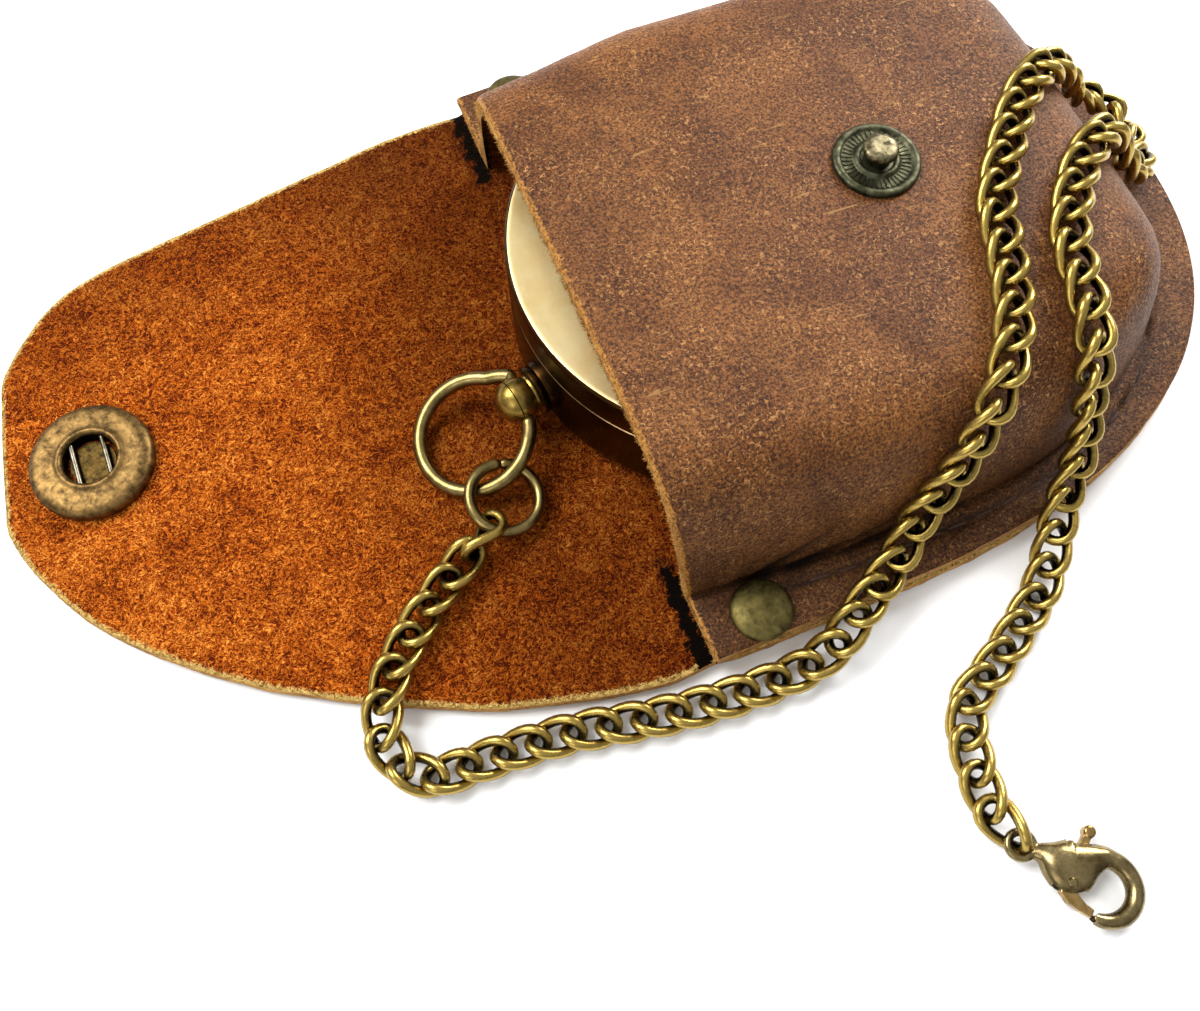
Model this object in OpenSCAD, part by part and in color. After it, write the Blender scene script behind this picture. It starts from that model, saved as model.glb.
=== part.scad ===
// Pocket compass with lid, bow, jump ring, curb chain and lobster clasp, in a moulded leather belt pouch.
// Millimetres. The origin is on the rest face under the middle of the compass, +X is the closed end of the
// pouch, +Z is up. The flap is open and lies flat towards -X.

/* [Compass case] */
// Radius of the brass case
case_r = 25; // [24.8:0.1:25.2]
// Height of the case body, from the pouch to the lid seam
case_h = 10.4; // [10.2:0.1:10.5]
// Height of the closed lid
lid_h = 4.7; // [4.5:0.1:4.8]
// Wall of the case and of the lid
wall_t = 1; // [0.9:0.05:1.05]
// Free gap between moving metal faces
gap = 0.1; // [0.08:0.01:0.12]

/* [Knob and bow] */
// Radius of the ball-shaped knob
ball_r = 2.6; // [2.55:0.05:2.65]
// Height of the knob above the case bottom
knob_up = 5.2; // [5.1:0.05:5.3]
// Travel of the push button
button_travel = 0.5; // [0.4:0.05:0.5]
// Radius of the bow to the middle of its wire
bow_r = 6.65; // [6.6:0.05:6.7]
// Wire of the bow
bow_wire = 1.5; // [1.4:0.05:1.55]
// Radius of the jump ring to the middle of its wire
jump_r = 4; // [3.95:0.05:4.05]
// Wire of the jump ring
jump_wire = 1.2; // [1.1:0.05:1.25]

/* [Chain and clasp] */
// Wire of the chain links
link_wire = 1; // [0.9:0.02:1.02]
// Thickness of the clasp body
clasp_t = 3.2; // [3:0.1:3.2]

/* [Pouch] */
// Leather of the back panel and flap
leather_t = 2; // [1.95:0.05:2.05]
// Leather of the moulded front panel
pocket_t = 1.8; // [1.75:0.05:1.85]
// Room between the lid and the moulded front
lid_room = 1.65; // [1.6:0.05:1.75]
// Radius of the snap socket
socket_r = 7.1; // [6.8:0.1:7.2]
// Radius of the snap stud flange
stud_r = 4.9; // [4.6:0.1:5]
// Radius of the rivet caps
rivet_r = 3.5; // [3.3:0.05:3.5]

/* [Hidden] */
unit = case_r / 25;              // one step of the hand-set tables
z0 = leather_t;                  // the compass lies on the back panel
z1 = leather_t + pocket_t;       // top of the stitched margin
seam_z = z0 + case_h;            // top edge of the case
lid_z = seam_z + gap;
top_z = lid_z + lid_h;
dome_h = case_h + lid_h + lid_room;  // height of the moulding above its margin
knob_a = 190.9;                  // the way the knob points
knob_z = z0 + knob_up;
inner_r = case_r - wall_t;
floor_t = 1.2 * unit;
dial_t = 0.6 * unit;
glass_z = seam_z - 2.8 * unit;
ring_in = 21.4 * unit;
notch_r = 22.2 * unit;
catch_r = 23.2 * unit;
ball_rho = case_r + 3.4 * unit;  // middle of the ball
pivot_rho = ball_rho - 0.3 * unit;
split_rho = ball_rho + 0.55 * unit;
bore_r = 1.9 * unit;
stem_r = 0.8 * unit;
hinge_rho = case_r + 1.4 * unit;
hinge_r = 1.25 * unit;
pin_r = 0.5 * unit;
mouth_x = -18.8 * unit;
bend_x = -36 * unit;
eps = 0.01 * unit;
fit = 0.03 * unit;
function dir(a) = [cos(a), sin(a), 0];
pivot_p = pivot_rho * dir(knob_a) + [0, 0, knob_z];
tau = asin((knob_z - z0 - bow_wire / 2 - gap) / (2 * bow_r));
bow_gap_a = 34;
bow_d = cos(tau) * dir(knob_a) - [0, 0, sin(tau)];
bow_c = pivot_p + bow_r * bow_d;  // middle of the bow
jump_shares = [0.0848, -1.2478, -0.0955];
jump_p = bow_c + bow_r * jump_shares;
jump_tilt = [8, 12, 0];
clasp_p = [2.1, -69.7, 1.65] * unit;
clasp_a = -53.5;
lever_p = [5.6, -1] * unit;
socket_p = [-75.2, 8.1] * unit;
stud_x = 17 * unit;
rivet_p = [-12.2, 37.5] * unit;

brass = [0.72, 0.58, 0.33];
pale_brass = [0.8, 0.72, 0.52];
hide = [0.45, 0.24, 0.12];
suede = [0.68, 0.36, 0.16];

// sizes of the moulded front
mouth_near = 33.2 * unit;        // half-width of the moulding at the mouth, near side
mouth_far = 31.5 * unit;
narrow_x = 10 * unit;            // the moulding narrows from here to its closed end
narrow_run = 42 * unit;
tip_w = 5 * unit;
tip_margin = 1.5 * unit;
dome_x = 24 * unit;              // the crest falls from here to the closed end
dome_run = 28 * unit;
mouth_rise = 1.5 * unit;         // the crest is this much higher at the mouth
mouth_run = dome_x - mouth_x;
lean_share = 1.2 / 18;           // the mouth edge leans back by this share of its height
crown_share = 1.008;
post_r = 1.2 * unit;             // posts of the rivets and the stud
washer_t = 0.5 * unit;
eyelet_t = 0.4 * unit;
seat = 0.02 * unit;

// outline of the pouch back, flap and seam, in steps of one unit
back_x = 59 * unit;
back_y = 41 * unit;
seam_y = 35 * unit;
flap_len = 67.3 * unit;
flap_y = 40.5 * unit;
flap_shares = [[.0,-1.0],[.10,-1.0],[.316,-.914],[.49,-.788],[.70,-.585],[.872,-.333],[.958,-.123],[1.0,.06],
  [.995,.188],[.966,.472],[.942,.598],[.85,.756],[.758,.825],[.66,.854],[.46,.9],[.275,.946],[.128,.975],[0,.975]];
cross_shares = [[1,0],[.985,.16],[.965,.33],[.93,.54],[.885,.73],[.83,.86],[.76,.94],[.66,.985],[.5,1],[.25,1.005]];
end_shares = [[0,1],[.3,1],[.47,.99],[.57,.95],[.65,.87],[.73,.74],[.8,.59],[.87,.43],[.93,.25],[.97,.12],[1,0]];
stations = [-18.8,-12,-6,0,7,14,20,26,31,35.5,39,42,44.5,46.8,48.8,50.4,51.6,53.4,55.4,57.2,58.3,58.9] * unit;

function flip(v) = [for (i = [len(v) - 1 : -1 : 0]) v[i]];
function cr1(a, b, c, d, t) = 0.5 * (2 * b + (c - a) * t + (2 * a - 5 * b + 4 * c - d) * t * t
  + (3 * b - a - 3 * c + d) * t * t * t);
function smooth(p, n) = concat([for (k = [0 : len(p) - 2]) for (j = [0 : n - 1])
  cr1(p[max(k - 1, 0)], p[k], p[k + 1], p[min(k + 2, len(p) - 1)], j / n)], [p[len(p) - 1]]);

// widths and heights of the pouch at a station
function panel_w(x) = x < 0 ? back_y : back_y * pow(1 - pow(x / back_x, 2.5), 0.4);
function seam_w(x, side) = x < 0 ? seam_y + ((side < 0 ? mouth_near : mouth_far) - seam_y) * x / mouth_x
  : x < narrow_x ? seam_y
  : min(panel_w(x) - tip_margin,
    max(tip_w, seam_y * pow(max(1 - pow((x - narrow_x) / narrow_run, 2.4), 0), 1 / 2.4)));
function crest(x, len_end) = (dome_h + mouth_rise * max(dome_x - x, 0) / mouth_run)
  * lookup((x - dome_x) / len_end, end_shares);
function half_arch(x, side, cut, zb, len_end) = [for (c = cross_shares)
  [side * (seam_w(x, side) - cut) * c[0], zb + crest(x, len_end) * c[1]]];
function arch(x, cut, zb, len_end) = concat([[-panel_w(x), zb]], half_arch(x, -1, cut, zb, len_end),
  [[0, zb + crest(x, len_end) * crown_share]], flip(half_arch(x, 1, cut, zb, len_end)), [[panel_w(x), zb]]);
function station(x) = let (o = arch(x, 0, z1, dome_run), i = arch(x, pocket_t, z0, dome_run - pocket_t),
  l = x == mouth_x ? lean_share : 0) [for (p = concat(o, flip(i))) [x - l * (p[1] - z0), p[0], p[1]]];

module pouch_front_blank() {
  n = 2 * len(cross_shares) + 3;
  m = 2 * n;
  s = len(stations);
  pts = [for (x = stations) each station(x)];
  skin = [for (i = [0 : s - 2]) for (j = [0 : m - 1]) let (k = (j + 1) % m, a = i * m)
    each [[a + j, a + k, a + m + k], [a + j, a + m + k, a + m + j]]];
  ends = [for (j = [0 : n - 2]) let (b = (s - 1) * m, i = m - 1 - j)
    each [[i, i - 1, j + 1], [i, j + 1, j], [b + j, b + j + 1, b + i - 1], [b + j, b + i - 1, b + i]]];
  polyhedron(pts, concat(skin, ends), convexity = 6);
}

module back_outline() polygon(concat([for (x = stations) [x, -panel_w(x)]],
  [for (x = flip(stations)) [x, panel_w(x)]]));
module flap_outline() polygon(smooth([for (p = flap_shares) [mouth_x - p[0] * flap_len, p[1] * flap_y]], 5));
module rivet_places() for (s = [-1, 1]) translate([rivet_p[0], s * rivet_p[1], 0]) children();
stud_tilt = atan(mouth_rise / mouth_run);
stud_z = z1 + dome_h * crown_share + mouth_rise * (dome_x - stud_x) / mouth_run + seat;
module stud_place() translate([stud_x, 0, stud_z]) rotate([0, stud_tilt, 0]) children();

// knob_axis lays +Z along the knob, measured from the middle of the case
module knob_axis() translate([0, 0, knob_z]) rotate([0, 0, knob_a]) rotate([0, 90, 0]) children();
module hinge_place() rotate([0, 0, knob_a - 180]) translate([hinge_rho, 0, seam_z + gap / 2]) children();
module along_y(r, h, y) translate([0, y, 0]) rotate([90, 0, 0]) cylinder(r = r, h = h, center = true, $fn = 32);
notch_w = 6.4 * unit;            // the rings and the glass are cut out this wide behind the knob
notch_run = 4 * unit;
module knob_notch() rotate([0, 0, knob_a]) translate([notch_r, -notch_w / 2, z0 + floor_t + dial_t])
  cube([notch_run, notch_w, case_h]);

// a closed or open wire of round section: ring centres, then the two cross directions of each
module wire(c, u, v, r, sides, closed) {
  n = len(c);
  pts = [for (i = [0 : n - 1]) for (j = [0 : sides - 1]) let (a = 360 * j / sides)
    c[i] + r * (cos(a) * u[i] + sin(a) * v[i])];
  skin = [for (i = [0 : (closed ? n - 1 : n - 2)]) for (j = [0 : sides - 1])
    let (k = (j + 1) % sides, a = i * sides, b = ((i + 1) % n) * sides)
    each [[a + j, b + j, b + k], [a + j, b + k, a + k]]];
  ends = closed ? [] : [[for (j = [0 : sides - 1]) j], [for (j = [sides - 1 : -1 : 0]) (n - 1) * sides + j]];
  polyhedron(pts, concat(skin, ends), convexity = 4);
}
function unitv(v) = v / norm(v);

// one twisted curb link, long way X, lying in XY
link_a = 2.9 * unit;
link_b = 1.7 * unit;
link_h = 0.8 * unit;
link_n = 10;
function link_c(t) = [link_a * cos(t), link_b * sin(t), link_h * sin(2 * t)];
function link_t(t) = unitv([-link_a * sin(t), link_b * cos(t), 2 * link_h * cos(2 * t)]);
function link_u(t) = unitv(cross(link_t(t), [0, 0, 1]));
link_ts = [for (i = [0 : link_n - 1]) 360 * (i + 0.5) / link_n];
module chain_link() wire([for (t = link_ts) link_c(t)], [for (t = link_ts) link_u(t)],
  [for (t = link_ts) cross(link_t(t), link_u(t))], link_wire / 2, 6, true);

module helix(r, w, h, turns, per) {
  n = round(turns * per);
  c = [for (i = [0 : n]) let (a = 360 * turns * i / n) [r * cos(a), r * sin(a), h * i / n]];
  u = [for (i = [0 : n]) let (a = 360 * turns * i / n) [cos(a), sin(a), 0]];
  wire(c, u, [for (i = [0 : n]) [0, 0, -1]], w / 2, 6, false);
}

// the chain's way over the pouch and the table, control points in steps of one unit, and the way up at each
link_count = 78;
first_roll = 131.1;
last_roll = 39;
route = [[-35.51,-17.31,4.75],[-41.64,-20.82,3.57],[-46.73,-24.51,4],[-52,-29.5,3.7],[-54.7,-34.6,2.7],
  [-52.4,-40,1.8],[-45.9,-40.6,1.4],[-36.8,-41.4,1.6],[-27.3,-43.4,1.5],[-19.7,-44.5,1.7],
  [-13.1,-44.8,1.5],[-7.3,-44.5,3],[-2.4,-41.7,5.2],[2.8,-38.8,5.8],[6.3,-35.9,8.5],[10.5,-33.9,13.6],
  [13.8,-31.6,18.1],[17.4,-27.9,21.1],[20.8,-22.7,22.1],[23.6,-15.8,22.2],[25.7,-10.2,22.2],
  [30.2,-4.6,22.2],[35,.8,22.1],[40.1,4.3,21.4],[45.6,5.6,17.6],[50.3,6.7,11],[56.1,5,7.2],[57.4,0,5.9],
  [55.5,-4,7],[50.7,-5.9,10.8],[46.2,-4.9,17],[42.3,-6,21],[37.6,-8.6,21.9],[33.8,-12.6,22.2],
  [30.6,-17.2,22.1],[29.2,-22.4,21.8],[28.2,-28,19.9],[27.6,-32.4,13.6],[26.8,-35.9,8.1],[23.7,-39.4,5.4],
  [21.2,-43.1,3],[18,-47,1.5],[13.7,-49.6,1.6],[9,-52.5,1.5],[3.47,-55.43,1.9],[1.2,-63.28,1.89],
  [1.09,-67.51,1.83],[1.88,-69.01,2.17]];
route_up = [[-.57,-1.66,-.28],[-.05,.02,1.01],[.07,-.26,.99],[.38,.71,1.31],[-.18,.11,1.08],
  [.03,.04,1.02],[0,0,1.02],[-.01,-.03,1.03],[0,0,1],[0,0,1],[-.06,0,.97],[0,0,1],[-.04,-.14,.98],
  [.08,-.49,.89],[-.19,-.67,.74],[.15,-.91,.7],[.29,-.93,.81],[0,-.4,1],[.02,-.05,.96],[0,0,1],
  [.01,-.01,.96],[0,0,1],[0,0,1],[.26,-.02,.91],[.65,-.02,1.01],[2.11,0,.86],[.97,-.69,.6],
  [.78,-.11,1.08],[.79,.04,.4],[.97,.12,.8],[.17,.27,1],[.58,.21,1.52],[0,0,1],[-.1,.07,1.02],[0,0,1],
  [0,0,1],[-.02,-.92,.83],[.54,-.43,1.57],[.07,-1.75,.82],[-.1,-.84,1.02],[.07,.09,.85],[0,.07,1.2],
  [.08,.08,.95],[0,0,1],[0,0,1],[-.51,.19,1],[-.09,.35,1],[-.14,-.15,1]];

laid_z = 3.8;                    // heights of the margin and the moulding that the route was laid over
laid_h = 16.75;
function lay(p) = [p[0] * unit, p[1] * unit,
  p[2] < laid_z ? p[2] * z1 / laid_z : z1 + (p[2] - laid_z) * dome_h / laid_h];
dense = smooth([for (p = route) lay(p)], 8);
dense_up = smooth(route_up, 8);
function cum(p, i, s) = i >= len(p) ? [] : concat([s], cum(p, i + 1, s + (i + 1 < len(p) ? norm(p[i + 1] - p[i]) : 0)));
way = cum(dense, 0, 0);
way_len = way[len(way) - 1];
link_pitch = way_len / link_count;
tx = [for (i = [0 : len(way) - 1]) [way[i], dense[i][0]]];
ty = [for (i = [0 : len(way) - 1]) [way[i], dense[i][1]]];
tz = [for (i = [0 : len(way) - 1]) [way[i], dense[i][2]]];
ux = [for (i = [0 : len(way) - 1]) [way[i], dense_up[i][0]]];
uy = [for (i = [0 : len(way) - 1]) [way[i], dense_up[i][1]]];
uz = [for (i = [0 : len(way) - 1]) [way[i], dense_up[i][2]]];
function at(s) = [lookup(s, tx), lookup(s, ty), lookup(s, tz)];
function up_at(s) = [lookup(s, ux), lookup(s, uy), lookup(s, uz)];
module links(from, to) for (i = [from : to]) {
  s = (i + 0.5) * link_pitch;
  a = at(s - link_pitch / 2);
  b = at(s + link_pitch / 2);
  t = unitv(b - a);
  w0 = up_at(s);
  w1 = unitv(w0 - (w0 * t) * t);
  roll = i == 0 ? first_roll : i == link_count - 1 ? last_roll : 0;
  v1 = cross(w1, t);
  w = cos(roll) * w1 - sin(roll) * v1;
  v = cos(roll) * v1 + sin(roll) * w1;
  c = (a + b) / 2;
  multmatrix([[t[0], v[0], w[0], c[0]], [t[1], v[1], w[1], c[1]], [t[2], v[2], w[2], c[2]]]) chain_link();
}

function scaled(shares, a, b) = [for (p = shares) [p[0] * a, p[1] * b]];

/* pouch */
through = 12 * unit;             // cutting tools reach this far
washer_less = 0.1 * unit;        // the washers are this much smaller in radius than the caps
washer_r = rivet_r - washer_less;
module back_panel() color(hide) difference() {
  linear_extrude(leather_t) back_outline();
  rivet_places() {
    translate([0, 0, -eps]) cylinder(r = washer_r + fit, h = washer_t + eps, $fn = 48);
    cylinder(r = post_r + fit, h = 3 * leather_t, center = true, $fn = 32);
  }
}
module front_panel() color(hide) difference() {
  pouch_front_blank();
  rivet_places() translate([0, 0, z0]) cylinder(r = post_r + fit, h = 3 * pocket_t, center = true, $fn = 24);
  stud_place() cylinder(r = post_r + fit, h = through, center = true, $fn = 24);
}
module flap_bend() color(suede) linear_extrude(leather_t) intersection() {
  flap_outline();
  translate([bend_x, -2 * back_y]) square([mouth_x - bend_x, 4 * back_y]);
}
bend_gap = 0.05 * unit;          // between the flap and the strip that bends
cap_r = 6 * unit;                // the snap's cap on the grain side, and its post through the leather
cap_t = 0.6 * unit;
cap_post_r = 1.4 * unit;
module flap() color(suede) difference() {
  linear_extrude(leather_t) intersection() {
    flap_outline();
    translate([-4 * back_y, -2 * back_y]) square([4 * back_y + bend_x - bend_gap, 4 * back_y]);
  }
  translate(socket_p) {
    cylinder(r = cap_post_r + fit, h = 3 * leather_t, center = true, $fn = 32);
    translate([0, 0, -eps]) cylinder(r = cap_r + fit, h = cap_t + eps, $fn = 64);
  }
}
rivet_h = 1.3 * unit;            // the domed caps of the rivets
rivet_shares = [[0, 0], [1, 0], [1, 3 / 13], [.92, 6 / 13], [.75, 9 / 13], [.5, 11.5 / 13], [.25, 12.7 / 13],
  [0, 1]];
module rivet_caps() color(brass) rivet_places() {
  translate([0, 0, washer_t + eps]) cylinder(r = post_r, h = z1 - washer_t, $fn = 32);
  translate([0, 0, z1]) rotate_extrude($fn = 48) polygon(scaled(rivet_shares, rivet_r, rivet_h));
}
module rivet_backs() color(brass) rivet_places() cylinder(r = washer_r, h = washer_t, $fn = 48);
flange_h = 0.8 * unit;           // the stud's ribbed flange, the head on it and the post below
flange_shares = [[0, 0], [1, 0], [1, .4375], [.94, .75], [.84, .75], [.8, .5625], [.5, .625], [.46, 1]];
head_r = 1.95 * unit;
stud_h = 2.6 * unit;
head_shares = [[10 / 13, 4 / 13], [28 / 39, 15 / 26], [1, 19 / 26], [1, 22 / 26], [10 / 13, 25 / 26], [0, 1]];
post_low = 0.05 * unit;
post_more = 0.2 * unit;
module snap_stud() color(brass) stud_place() {
  rotate_extrude($fn = 64) polygon(concat(scaled(flange_shares, stud_r, flange_h),
    scaled(head_shares, head_r, stud_h)));
  translate([0, 0, -pocket_t - post_low]) cylinder(r = post_r, h = pocket_t + post_more, $fn = 32);
}
eyelet_r = 3.2 * unit;
eyelet_drop = 0.5 * unit;
module stud_eyelet() color(brass) stud_place()
  translate([0, 0, -pocket_t - eyelet_drop]) cylinder(r = eyelet_r, h = eyelet_t, $fn = 48);
socket_h = 1.95 * unit;          // the socket's ring, its hole and the room for the spring in it
hole_r = 3 * unit;
hole_share = 28 / 39;
socket_shares = [[1, 0], [1, 16 / 39], [.97, 26 / 39], [.9, 33 / 39], [.82, 34 / 39], [.74, 28 / 39],
  [.7, 27 / 39], [.64, 35 / 39], [.56, 1], [.48, 36 / 39]];
room_r = 4 * unit;
room_h = 0.65 * unit;
room_z = 0.7 * unit;
module snap_socket() color(brass) translate([socket_p[0], socket_p[1], z0]) difference() {
  rotate_extrude($fn = 72) polygon(concat([[hole_r, 0]], scaled(socket_shares, socket_r, socket_h),
    [[hole_r, hole_share * socket_h]]));
  translate([0, 0, room_z]) cylinder(r = room_r, h = room_h, $fn = 48);
}
wire_z = 1.02 * unit;            // the two straight wires of the snap's spring
wire_x = 1.8 * unit;
wire_r = 0.3 * unit;
wire_len = 7 * unit;
module snap_spring() color(pale_brass) translate([socket_p[0], socket_p[1], z0 + wire_z])
  for (s = [-1, 1]) translate([s * wire_x, 0, 0]) rotate([90, 0, 0])
    cylinder(r = wire_r, h = wire_len, center = true, $fn = 24);
cap_up = 0.3 * unit;             // the cap's post stands this far over the leather, under a riveted head
cap_head_r = 2.6 * unit;
cap_head_t = 0.4 * unit;
module snap_cap() color(brass) translate(socket_p) {
  cylinder(r = cap_r, h = cap_t, $fn = 64);
  cylinder(r = cap_post_r, h = z0 + cap_up, $fn = 32);
  translate([0, 0, z0 + seat]) cylinder(r = cap_head_r, h = cap_head_t, $fn = 48);
}

/* compass */
foot_round = 1.2 * unit;         // rounding of the case's foot, drawn with two points between its ends
round_share = 2 / 15;
barrel_w = 2.2 * unit;           // the case's two hinge barrels and the webs that carry them
barrel_y = 3.1 * unit;
web_h = 1.1 * unit;
web_low = 1.15 * unit;
stem_from = case_r - 3 * unit;   // the hole for the button's stem starts inside the wall
module compass_case() color(brass) difference() {
  union() {
    rotate_extrude($fn = 128) polygon([[0, z0], [case_r - foot_round, z0],
      [case_r - foot_round / 2, z0 + round_share * foot_round],
      [case_r - round_share * foot_round, z0 + foot_round / 2], [case_r, z0 + foot_round], [case_r, seam_z],
      [inner_r, seam_z], [inner_r, z0 + floor_t], [0, z0 + floor_t]]);
    hinge_place() for (s = [-1, 1]) {
      along_y(hinge_r, barrel_w, s * barrel_y);
      translate([-hinge_rho + case_r - wall_t / 2, s * barrel_y - barrel_w / 2, -web_low])
        cube([hinge_rho - case_r + wall_t / 2, barrel_w, web_h - gap / 2]);
    }
  }
  hinge_place() along_y(pin_r + fit, through, 0);
  knob_axis() translate([0, 0, stem_from]) cylinder(r = stem_r + gap, h = through, $fn = 32);
}
lid_round = 1 * unit;            // the lid's rounded shoulder, then its raised rim and the face inside it
shoulder_shares = [[0, 1.1], [.15, .6], [.5, .2], [1, 0]];
rim_w = 1.6 * unit;
rim_foot = 1.8 * unit;
face_drop = 0.15 * unit;
lid_barrel_w = 3.6 * unit;
module lid() color(pale_brass) difference() {
  union() {
    rotate_extrude($fn = 128) polygon(concat([[0, top_z - wall_t], [inner_r + gap, top_z - wall_t],
      [inner_r + gap, lid_z], [case_r, lid_z]],
      [for (p = shoulder_shares) [case_r - p[0] * lid_round, top_z - p[1] * lid_round]],
      [[case_r - rim_w, top_z], [case_r - rim_foot, top_z - face_drop], [0, top_z - face_drop]]));
    hinge_place() {
      along_y(hinge_r, lid_barrel_w, 0);
      translate([-hinge_rho + case_r - wall_t / 2, -lid_barrel_w / 2, gap / 2])
        cube([hinge_rho - case_r + wall_t / 2, lid_barrel_w, web_h]);
    }
  }
  hinge_place() along_y(pin_r + gap / 2, through, 0);
}
hinge_pin_len = 8.6 * unit;
module lid_hinge_pin() color(brass) hinge_place() along_y(pin_r, hinge_pin_len, 0);
dial_gap = 0.1 * unit;           // round the dial's card
pivot_r = 0.6 * unit;            // the pivot pin tapers from its shank to its tip
shank_r = 0.5 * unit;
tip_r = 0.1 * unit;
tip_len = 1.3 * unit;
tip_drop = 1.9 * unit;
module dial() color([0.93, 0.91, 0.85]) difference() {
  translate([0, 0, z0 + floor_t]) cylinder(r = inner_r - dial_gap, h = dial_t, $fn = 96);
  cylinder(r = pivot_r + fit, h = case_h, $fn = 24);
}
pivot_z = glass_z - tip_drop;     // tip of the pivot pin
module pivot_pin() color([0.6, 0.6, 0.62]) rotate_extrude($fn = 24) polygon([[0, z0 + floor_t],
  [pivot_r, z0 + floor_t], [shank_r, pivot_z - tip_len], [tip_r, pivot_z], [0, pivot_z]]);
needle_half = 17.5 * unit;       // half the needle's length and width, and how far it hangs below the tip
needle_w = 1.9 * unit;
needle_t = 0.3 * unit;
needle_drop = 0.7 * unit;
hub_r = 1 * unit;                // neck of the needle's cap
hub_shares = [[0, .1], [.15, .05], [.8, -.85], [1, -.85], [1, -.38], [1.5, -.38], [1.5, -.2], [.9, .3], [.5, .6],
  [0, .7]];
module needle() color([0.25, 0.3, 0.5]) translate([0, 0, pivot_z - needle_drop]) rotate([0, 0, 62]) difference() {
  linear_extrude(needle_t) polygon([[-needle_half, 0], [0, -needle_w], [needle_half, 0], [0, needle_w]]);
  cylinder(r = hub_r + fit, h = through, center = true, $fn = 32);
}
module needle_cap() color(brass) translate([0, 0, pivot_z]) rotate_extrude($fn = 32)
  polygon(scaled(hub_shares, hub_r, hub_r));
ring_gap = 0.05 * unit;          // round the spacer, the glass and the bezel
ring_r = inner_r - ring_gap;
glass_t = 1.2 * unit;
bezel_t = 1 * unit;
bezel_low = 0.3 * unit;          // the bezel's inner face slopes between these two, from the spacer's bore
bezel_high = 0.8 * unit;
module spacer_ring() color(brass) difference() {
  rotate_extrude($fn = 96) polygon([[ring_in, z0 + floor_t + dial_t], [ring_r, z0 + floor_t + dial_t],
    [ring_r, glass_z], [ring_in, glass_z]]);
  knob_notch();
}
module glass() color([0.8, 0.88, 0.9, 0.5]) difference() {
  translate([0, 0, glass_z]) cylinder(r = ring_r, h = glass_t, $fn = 96);
  knob_notch();
}
module bezel_ring() color(brass) difference() {
  rotate_extrude($fn = 96) polygon([[ring_in + bezel_low, glass_z + glass_t], [ring_r, glass_z + glass_t],
    [ring_r, glass_z + glass_t + bezel_t], [ring_in + bezel_high, glass_z + glass_t + bezel_t]]);
  knob_notch();
}

/* knob, button and bow */
collar_r = 3 * unit;             // the collar's base, groove, rib and neck, in steps out from the case
groove_r = 2.6 * unit;
rib_r = 2.9 * unit;
neck_r = 2 * unit;
base_up = 0.6 * unit;
groove_up = 0.75 * unit;
groove_top = 0.9 * unit;
rib_up = 1.05 * unit;
rib_top = 1.5 * unit;
neck_up = 1.7 * unit;
spring_up = 0.3 * unit;          // floor of the hole for the button's spring
spring_hole_r = 1.5 * unit;
bore_up = 2.3 * unit;            // floor of the bore for the button's skirt
bow_pin_r = 0.5 * unit;
module knob_collar() color(brass) difference() {
  knob_axis() difference() {
    union() {
      rotate_extrude($fn = 48) polygon([[0, case_r - base_up], [collar_r, case_r - base_up],
        [collar_r, case_r + base_up], [groove_r, case_r + groove_up], [groove_r, case_r + groove_top],
        [rib_r, case_r + rib_up], [rib_r, case_r + rib_top], [neck_r, case_r + neck_up], [neck_r, ball_rho],
        [0, ball_rho]]);
      translate([0, 0, ball_rho]) sphere(r = ball_r, $fn = 48);
    }
    translate([0, 0, split_rho]) cylinder(r = 2 * ball_r, h = 2 * ball_r);
    translate([0, 0, stem_from]) cylinder(r = stem_r + gap, h = through, $fn = 32);
    translate([0, 0, case_r + spring_up]) cylinder(r = spring_hole_r, h = through, $fn = 32);
    translate([0, 0, case_r + bore_up]) cylinder(r = bore_r, h = through, $fn = 32);
  }
  cylinder(r = case_r, h = seam_z, $fn = 128);
  translate(pivot_p) along_y(bow_pin_r + 2 * fit, through, 0);
}
cap_gap = 0.05 * unit;           // left between the pressed button and the ball
skirt_from = case_r + 3 * unit;
foot_r = 1.2 * unit;             // the riveted foot of the button's stem, behind the catch
foot_t = 0.25 * unit;
module push_button() color(pale_brass) knob_axis() {
  difference() {
    translate([0, 0, ball_rho]) sphere(r = ball_r, $fn = 48);
    translate([0, 0, ball_rho - 2 * ball_r]) cylinder(r = 2 * ball_r,
      h = split_rho + button_travel + cap_gap - ball_rho + 2 * ball_r);
  }
  translate([0, 0, skirt_from]) cylinder(r = bore_r - 2 * fit,
    h = split_rho - skirt_from + button_travel + 2 * cap_gap, $fn = 32);
  translate([0, 0, catch_r - eps]) cylinder(r = stem_r, h = skirt_from - catch_r + 2 * cap_gap, $fn = 32);
  translate([0, 0, catch_r - foot_t]) cylinder(r = foot_r, h = foot_t, $fn = 32);
}
coil_up = 1.02 * unit;           // the button's spring
coil_r = 1.2 * unit;
coil_wire = 0.25 * unit;
coil_h = 1.84 * unit;
module button_spring() color([0.7, 0.7, 0.72]) knob_axis() translate([0, 0, case_r + coil_up])
  helix(coil_r, coil_wire, coil_h, 3, 12);
catch_t = 0.4 * unit;            // the catch is a strip with a hook that reaches into the lid
catch_w = 5 * unit;
catch_low = 1.8 * unit;
catch_up = 1.4 * unit;
hook_from = 0.3 * unit;
hook_t = 0.35 * unit;
hook_w = 3 * unit;
hook_up = 0.8 * unit;
hook_h = 0.6 * unit;
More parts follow.
